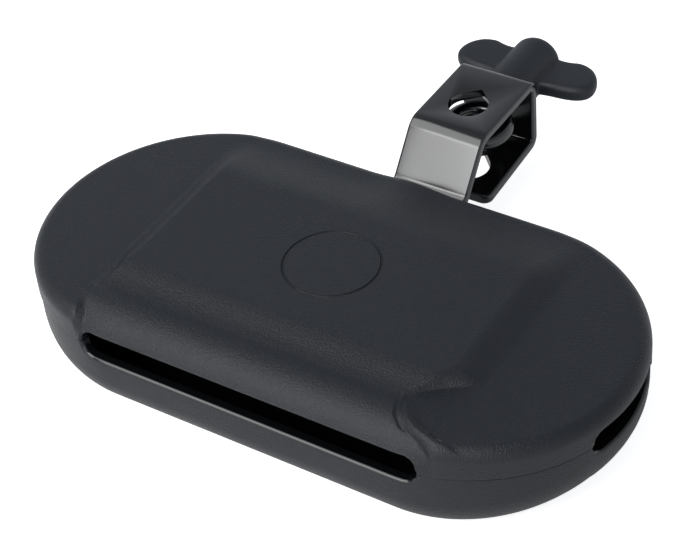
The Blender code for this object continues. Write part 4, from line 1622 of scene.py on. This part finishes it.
@dataclass(frozen=True)
class Fasteners:
    """The screws, bolts and washers: those that can be seen are made anew, the rest are refinished.

    Attributes:
        shells: the block, for its screw places.
        strap: the strap, for the clamp's axis.
        screw_seat: height of the screws' seats, and bolt_seat: of the bolts'.
        screw_head: radius and height of a screw's head, and screw_shank: radius and length of its shank.
        cross: length, width and depth of the cross recess.
        bolt_head: radius and height of a bolt's head, and bolt_shank: radius and length of its shank.
        socket: width of its socket across the flats, and socket_span: heights of its mouth and floor.
        washer_front: where the washer starts, washer: its radius, its hole's radius and its thickness,
            and washer_edge: rounding of its rim.
    """

    shells: BlockShells
    strap: Strap
    screw_seat: float = 13.1 * MM
    bolt_seat: float = 5.0 * MM
    screw_head: Point = (3.4 * MM, 2.4 * MM)
    screw_shank: Point = (1.75 * MM, 16.0 * MM)
    cross: tuple[float, float, float] = (3.8 * MM, 0.85 * MM, 2.6 * MM)
    bolt_head: Point = (4.6 * MM, 3.2 * MM)
    bolt_shank: Point = (2.5 * MM, 25.0 * MM)
    socket: float = 3.0 * MM
    socket_span: Point = (-4.2 * MM, -1.4 * MM)
    washer_front: float = 102.3 * MM
    washer: tuple[float, float, float] = (8.0 * MM, 3.3 * MM, 1.2 * MM)
    washer_edge: float = 0.2 * MM

    def headed(self, name: str, head: Point, shank: Point) -> Piece:
        """Domed head below its seat at height 0, with its shank pointing up.

        Args:
            name: the piece's name.
            head: radius and height of the head.
            shank: radius and length of the shank.

        Returns:
            The headed piece.
        """
        radius, height = head
        piece = barrel(name, (0.0, 0.0), radius, -height, 0.0, Around.HEAD)
        rims(piece, at_height(-height), 0.6 * height, 6)
        shaft = barrel("shaft", (0.0, 0.0), shank[0], -height / 4, shank[1], Around.POST)
        rims(shaft, at_height(shank[1]), shank[0] / 2, 3)
        return cut(piece, shaft, "UNION")

    def shell_screw(self) -> Piece:
        """Self-tapping screw with a cross recess.

        Returns:
            The screw, its seat at height 0.
        """
        screw = self.headed("cross_screw", self.screw_head, self.screw_shank)
        face = (0.0, 0.0, -self.screw_head[1])
        for turn in (0.0, math.pi / 2):
            bar = take("cube", "driver", size=1.0, location=face, rotation=(0.0, 0.0, turn))
            bar.scale = self.cross
            cut(screw, settle(bar))
        return screw

    def strap_bolt(self) -> Piece:
        """Button-headed bolt with a hexagon socket."""
        bolt = self.headed("socket_bolt", self.bolt_head, self.bolt_shank)
        return cut(bolt, plate("socket", hexagon(self.socket), *self.socket_span))

    def clamp_washer(self) -> Piece:
        """Washer between the strap and the wing nut.

        Returns:
            The washer, in its place on the clamp's axis.
        """
        radius, hole, thickness = self.washer
        washer = barrel("clamp_washer", (0.0, 0.0), radius, 0.0, thickness, Around.HUB)
        cut(washer, barrel("hole", (0.0, 0.0), hole, -OVERCUT, 2 * OVERCUT, Around.HEAD))
        for height in (0.0, thickness):
            rims(washer, at_height(height), self.washer_edge)
        return self.strap.on_axis(washer, self.washer_front)

    def build(self, palette: Palette) -> None:
        """Builds the visible fasteners and refinishes the hidden ones.

        Args:
            palette: the finishes.
        """
        screws = [(x, y, self.screw_seat) for x, y in self.shells.screws]
        bolts = [(0.0, y, self.bolt_seat) for y in TAB_BOLTS]
        for model, node, places in (
            (self.shell_screw(), "shell_screw", screws),
            (self.strap_bolt(), "bracket_bolt", bolts),
        ):
            for number, place in enumerate(places, start=1):
                piece = copy_to(model, f"{model.name}_{number}", place)
                mount(dress(smooth(piece), palette.zinc), "block", "zinc", f"{node}_{number}")
            bpy.data.objects.remove(model)
        mount(dress(smooth(self.clamp_washer()), palette.zinc), "block", "zinc", "wing_washer")
        for number in (1, 2):
            refinish(f"bracket_washer_{number}", palette.zinc)
            refinish(f"bracket_nut_{number}", palette.zinc)
        refinish("wing_nut_insert", palette.brass)


def refinish(node: str, material: Material) -> None:
    """Gives a CAD solid that stays in view a better finish.

    Args:
        node: the solid's node.
        material: its finish.
    """
    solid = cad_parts[node]
    for slot in solid.material_slots:
        slot.material = material
    if not solid.material_slots:
        solid.data.materials.append(material)
    LOG.info("%s: refinished with %s", node, material.name)


# The studio.


def toward(azimuth: float, elevation: float) -> Vector:
    """Direction from the block to something that stands round it.

    Args:
        azimuth: turn round the block in degrees, 0 in front and 90 on the right.
        elevation: height above the horizon in degrees.

    Returns:
        The direction, of length 1.
    """
    a, e = math.radians(azimuth), math.radians(elevation)
    return Vector((math.sin(a) * math.cos(e), -math.cos(a) * math.cos(e), math.sin(e)))


@dataclass(frozen=True)
class SoftBox:
    """Rectangular area light that faces the block.

    Attributes:
        name: the light's name.
        azimuth: turn round the block in degrees, and elevation: height above the horizon.
        distance: how far from the block it stands.
        size: its width and height.
        watts: its power.
    """

    name: str
    azimuth: float
    elevation: float
    distance: float
    size: Point
    watts: float

    def stand(self, target: Sequence[float]) -> None:
        """Puts the light in its place.

        Args:
            target: the place that it faces.
        """
        data = bpy.data.lights.new(self.name, "AREA")
        data.shape, (data.size, data.size_y) = "RECTANGLE", self.size
        data.energy = self.watts
        back = toward(self.azimuth, self.elevation)
        light = bpy.data.objects.new(self.name, data)
        light.location = back * self.distance + Vector(target)
        light.rotation_euler = back.to_track_quat("Z", "Y").to_euler()
        bpy.context.scene.collection.objects.link(light)


# Seen in the strap's ramp.
FRONT_BOX = SoftBox("front_box", -20.0, 36.0, 0.7, (0.52, 0.34), 2.5)
# Gives the nose its band of light and the strap's upper bend its soft shine.
HIGH_LEFT_BOX = SoftBox("high_left_box", -38.0, 58.0, 1.0, (1.2, 0.7), 7.5)
# Low in front, for the lower walls.
WIDE_FRONT_BOX = SoftBox("wide_front_box", 5.0, 14.0, 1.0, (1.6, 0.45), 3.4)


@dataclass(frozen=True)
class Studio:
    """White table in a pale room that is darker overhead and on the left, with three soft boxes in front.

    Attributes:
        azimuth: camera's turn round the block, in degrees.
        elevation: camera's height above the horizon, in degrees.
        roll: camera's tilt, in degrees.
        distance: how far from its target it stands.
        focal_px: its focal length, in pixels.
        target: the place that it faces.
        shift_px: how far its picture is shifted, in pixels.
        image_px: the picture's width and height, in pixels.
        table_size: width of the table, and table_drop: how far under the block it lies.
        boxes: the soft boxes.
        levels: brightness of the room, from straight down to straight up: share of the way, brightness.
        tint: colour of the room.
        dark_left: how far left the room starts and stops to be dimmer, as the X of a direction, and
            left_level: how bright it is there.
    """

    azimuth: float = 34.648
    elevation: float = 40.722
    roll: float = -4.995
    distance: float = 581.0 * MM
    focal_px: float = 1995.57
    target: tuple[float, float, float] = (0.815 * MM, 14.525 * MM, 22.775 * MM)
    shift_px: Point = (-17.694, -4.977)
    image_px: tuple[int, int] = (688, 556)
    table_size: float = 6.0
    table_drop: float = 0.2 * MM
    boxes: tuple[SoftBox, ...] = (FRONT_BOX, HIGH_LEFT_BOX, WIDE_FRONT_BOX)
    levels: tuple[Point, ...] = ((0.0, 0.95), (0.35, 0.62), (0.62, 0.5), (0.8, 0.32), (1.0, 0.32))
    tint: tuple[float, float, float] = (0.93, 0.98, 1.06)
    dark_left: Point = (-0.72, -1.0)
    left_level: float = 0.15

    def camera(self) -> None:
        """Sets the camera where the photograph was taken from."""
        back, a, r = toward(self.azimuth, self.elevation), math.radians(self.azimuth), math.radians(self.roll)
        right = Vector((math.cos(a), math.sin(a), 0.0))
        up = back.cross(right)
        right, up = right * math.cos(r) + up * math.sin(r), up * math.cos(r) - right * math.sin(r)
        data = bpy.data.cameras.new("camera")
        data.sensor_width = 36.0
        data.lens = self.focal_px * data.sensor_width / self.image_px[0]
        data.shift_x, data.shift_y = (shift / self.image_px[0] for shift in self.shift_px)
        data.clip_start, data.clip_end = 10 * MM, 20.0
        camera = bpy.data.objects.new("camera", data)
        turn = Matrix((right, up, back)).transposed().to_4x4()
        camera.matrix_world = Matrix.Translation(Vector(self.target) + back * self.distance) @ turn
        bpy.context.scene.collection.objects.link(camera)
        bpy.context.scene.camera = camera

    def white_laminate(self, seen: float = 0.78, mirrored: float = 0.06) -> Material:
        """Matte white table finish, faintly flecked, that a photograph burns out to plain white.

        Args:
            seen: how much white is added where the camera sees it.
            mirrored: how much white is added in reflections.

        Returns:
            The material.
        """
        material = bpy.data.materials.new("white_laminate_table")
        material.use_nodes = True
        tree = material.node_tree
        shader = tree.nodes["Principled BSDF"]
        place = add_node(tree, "ShaderNodeTexCoord").outputs["Object"]
        fleck = add_node(tree, "ShaderNodeTexNoise", {"Scale": 1 / (3 * MM), "Detail": 2.0}, {0: place})
        whites = {"data_type": "RGBA", 6: linear("D4D4D4"), 7: linear("E0E0E0")}
        shade = add_node(tree, "ShaderNodeMix", whites, {0: fleck.outputs["Fac"]})
        tree.links.new(shade.outputs[2], shader.inputs["Base Color"])
        shader.inputs["Roughness"].default_value = 0.8
        path = add_node(tree, "ShaderNodeLightPath").outputs
        by_eye, by_mirror = {"operation": "MULTIPLY", 1: seen}, {"operation": "MULTIPLY_ADD", 1: mirrored}
        direct = add_node(tree, "ShaderNodeMath", by_eye, {0: path["Is Camera Ray"]})
        glow = add_node(tree, "ShaderNodeMath", by_mirror, {0: path["Is Glossy Ray"], 2: direct.outputs[0]})
        shader.inputs["Emission Color"].default_value = (1.0, 1.0, 1.0, 1.0)
        tree.links.new(glow.outputs[0], shader.inputs["Emission Strength"])
        return material

    def floor(self) -> None:
        """Lays the table."""
        table = settle(take("plane", "table", size=self.table_size, location=(0.0, 0.0, -self.table_drop)))
        dress(table, self.white_laminate())

    def room(self) -> None:
        """Pale walls near the horizon under a darker ceiling, white where the camera sees them."""
        world = bpy.data.worlds.new("studio_room")
        bpy.context.scene.world = world
        world.use_nodes = True
        tree = world.node_tree
        tree.nodes.clear()
        place = add_node(tree, "ShaderNodeTexCoord").outputs["Generated"]
        split = add_node(tree, "ShaderNodeSeparateXYZ", None, {0: place}).outputs
        ramp = add_node(tree, "ShaderNodeValToRGB", None, {0: split["Z"]})
        steps = ramp.color_ramp.elements
        while len(steps) < len(self.levels):
            steps.new(0.5)
        for step, (position, level) in zip(steps, self.levels):
            step.position, step.color = position, (*[share * level for share in self.tint], 1.0)
        span = {
            "interpolation_type": "SMOOTHSTEP",
            "From Min": self.dark_left[1],
            "From Max": self.dark_left[0],
            "To Min": self.left_level,
            "To Max": 1.0,
        }
        dim = add_node(tree, "ShaderNodeMapRange", span, {"Value": split["X"]}).outputs[0]
        lit = add_node(tree, "ShaderNodeBackground", None, {"Color": ramp.outputs[0], "Strength": dim})
        seen = add_node(tree, "ShaderNodeBackground", {"Color": (1.0, 1.0, 1.0, 1.0), "Strength": 1.0})
        by_camera = add_node(tree, "ShaderNodeLightPath").outputs["Is Camera Ray"]
        shown = {0: by_camera, 1: lit.outputs[0], 2: seen.outputs[0]}
        both = add_node(tree, "ShaderNodeMixShader", None, shown)
        add_node(tree, "ShaderNodeOutputWorld", None, {0: both.outputs[0]})

    def build(self) -> None:
        """Sets up the camera, the table, the room and the lights."""
        self.camera()
        self.floor()
        self.room()
        for box in self.boxes:
            box.stand(self.target)
        bpy.context.scene.view_settings.view_transform = "Standard"


def main() -> None:
    """Builds the part, sub-assembly by sub-assembly, and its studio."""
    logging.basicConfig(level=logging.INFO, format="%(message)s")
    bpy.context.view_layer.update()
    palette = Palette()
    shells, strap = BlockShells(), Strap()
    shells.build_upper(palette)
    shells.build_lower(palette)
    strap.build(palette)
    EyeBolt(strap).build(palette)
    WingNut(strap).build(palette)
    Fasteners(shells, strap).build(palette)
    Studio().build()


if __name__ == "__main__":
    main()
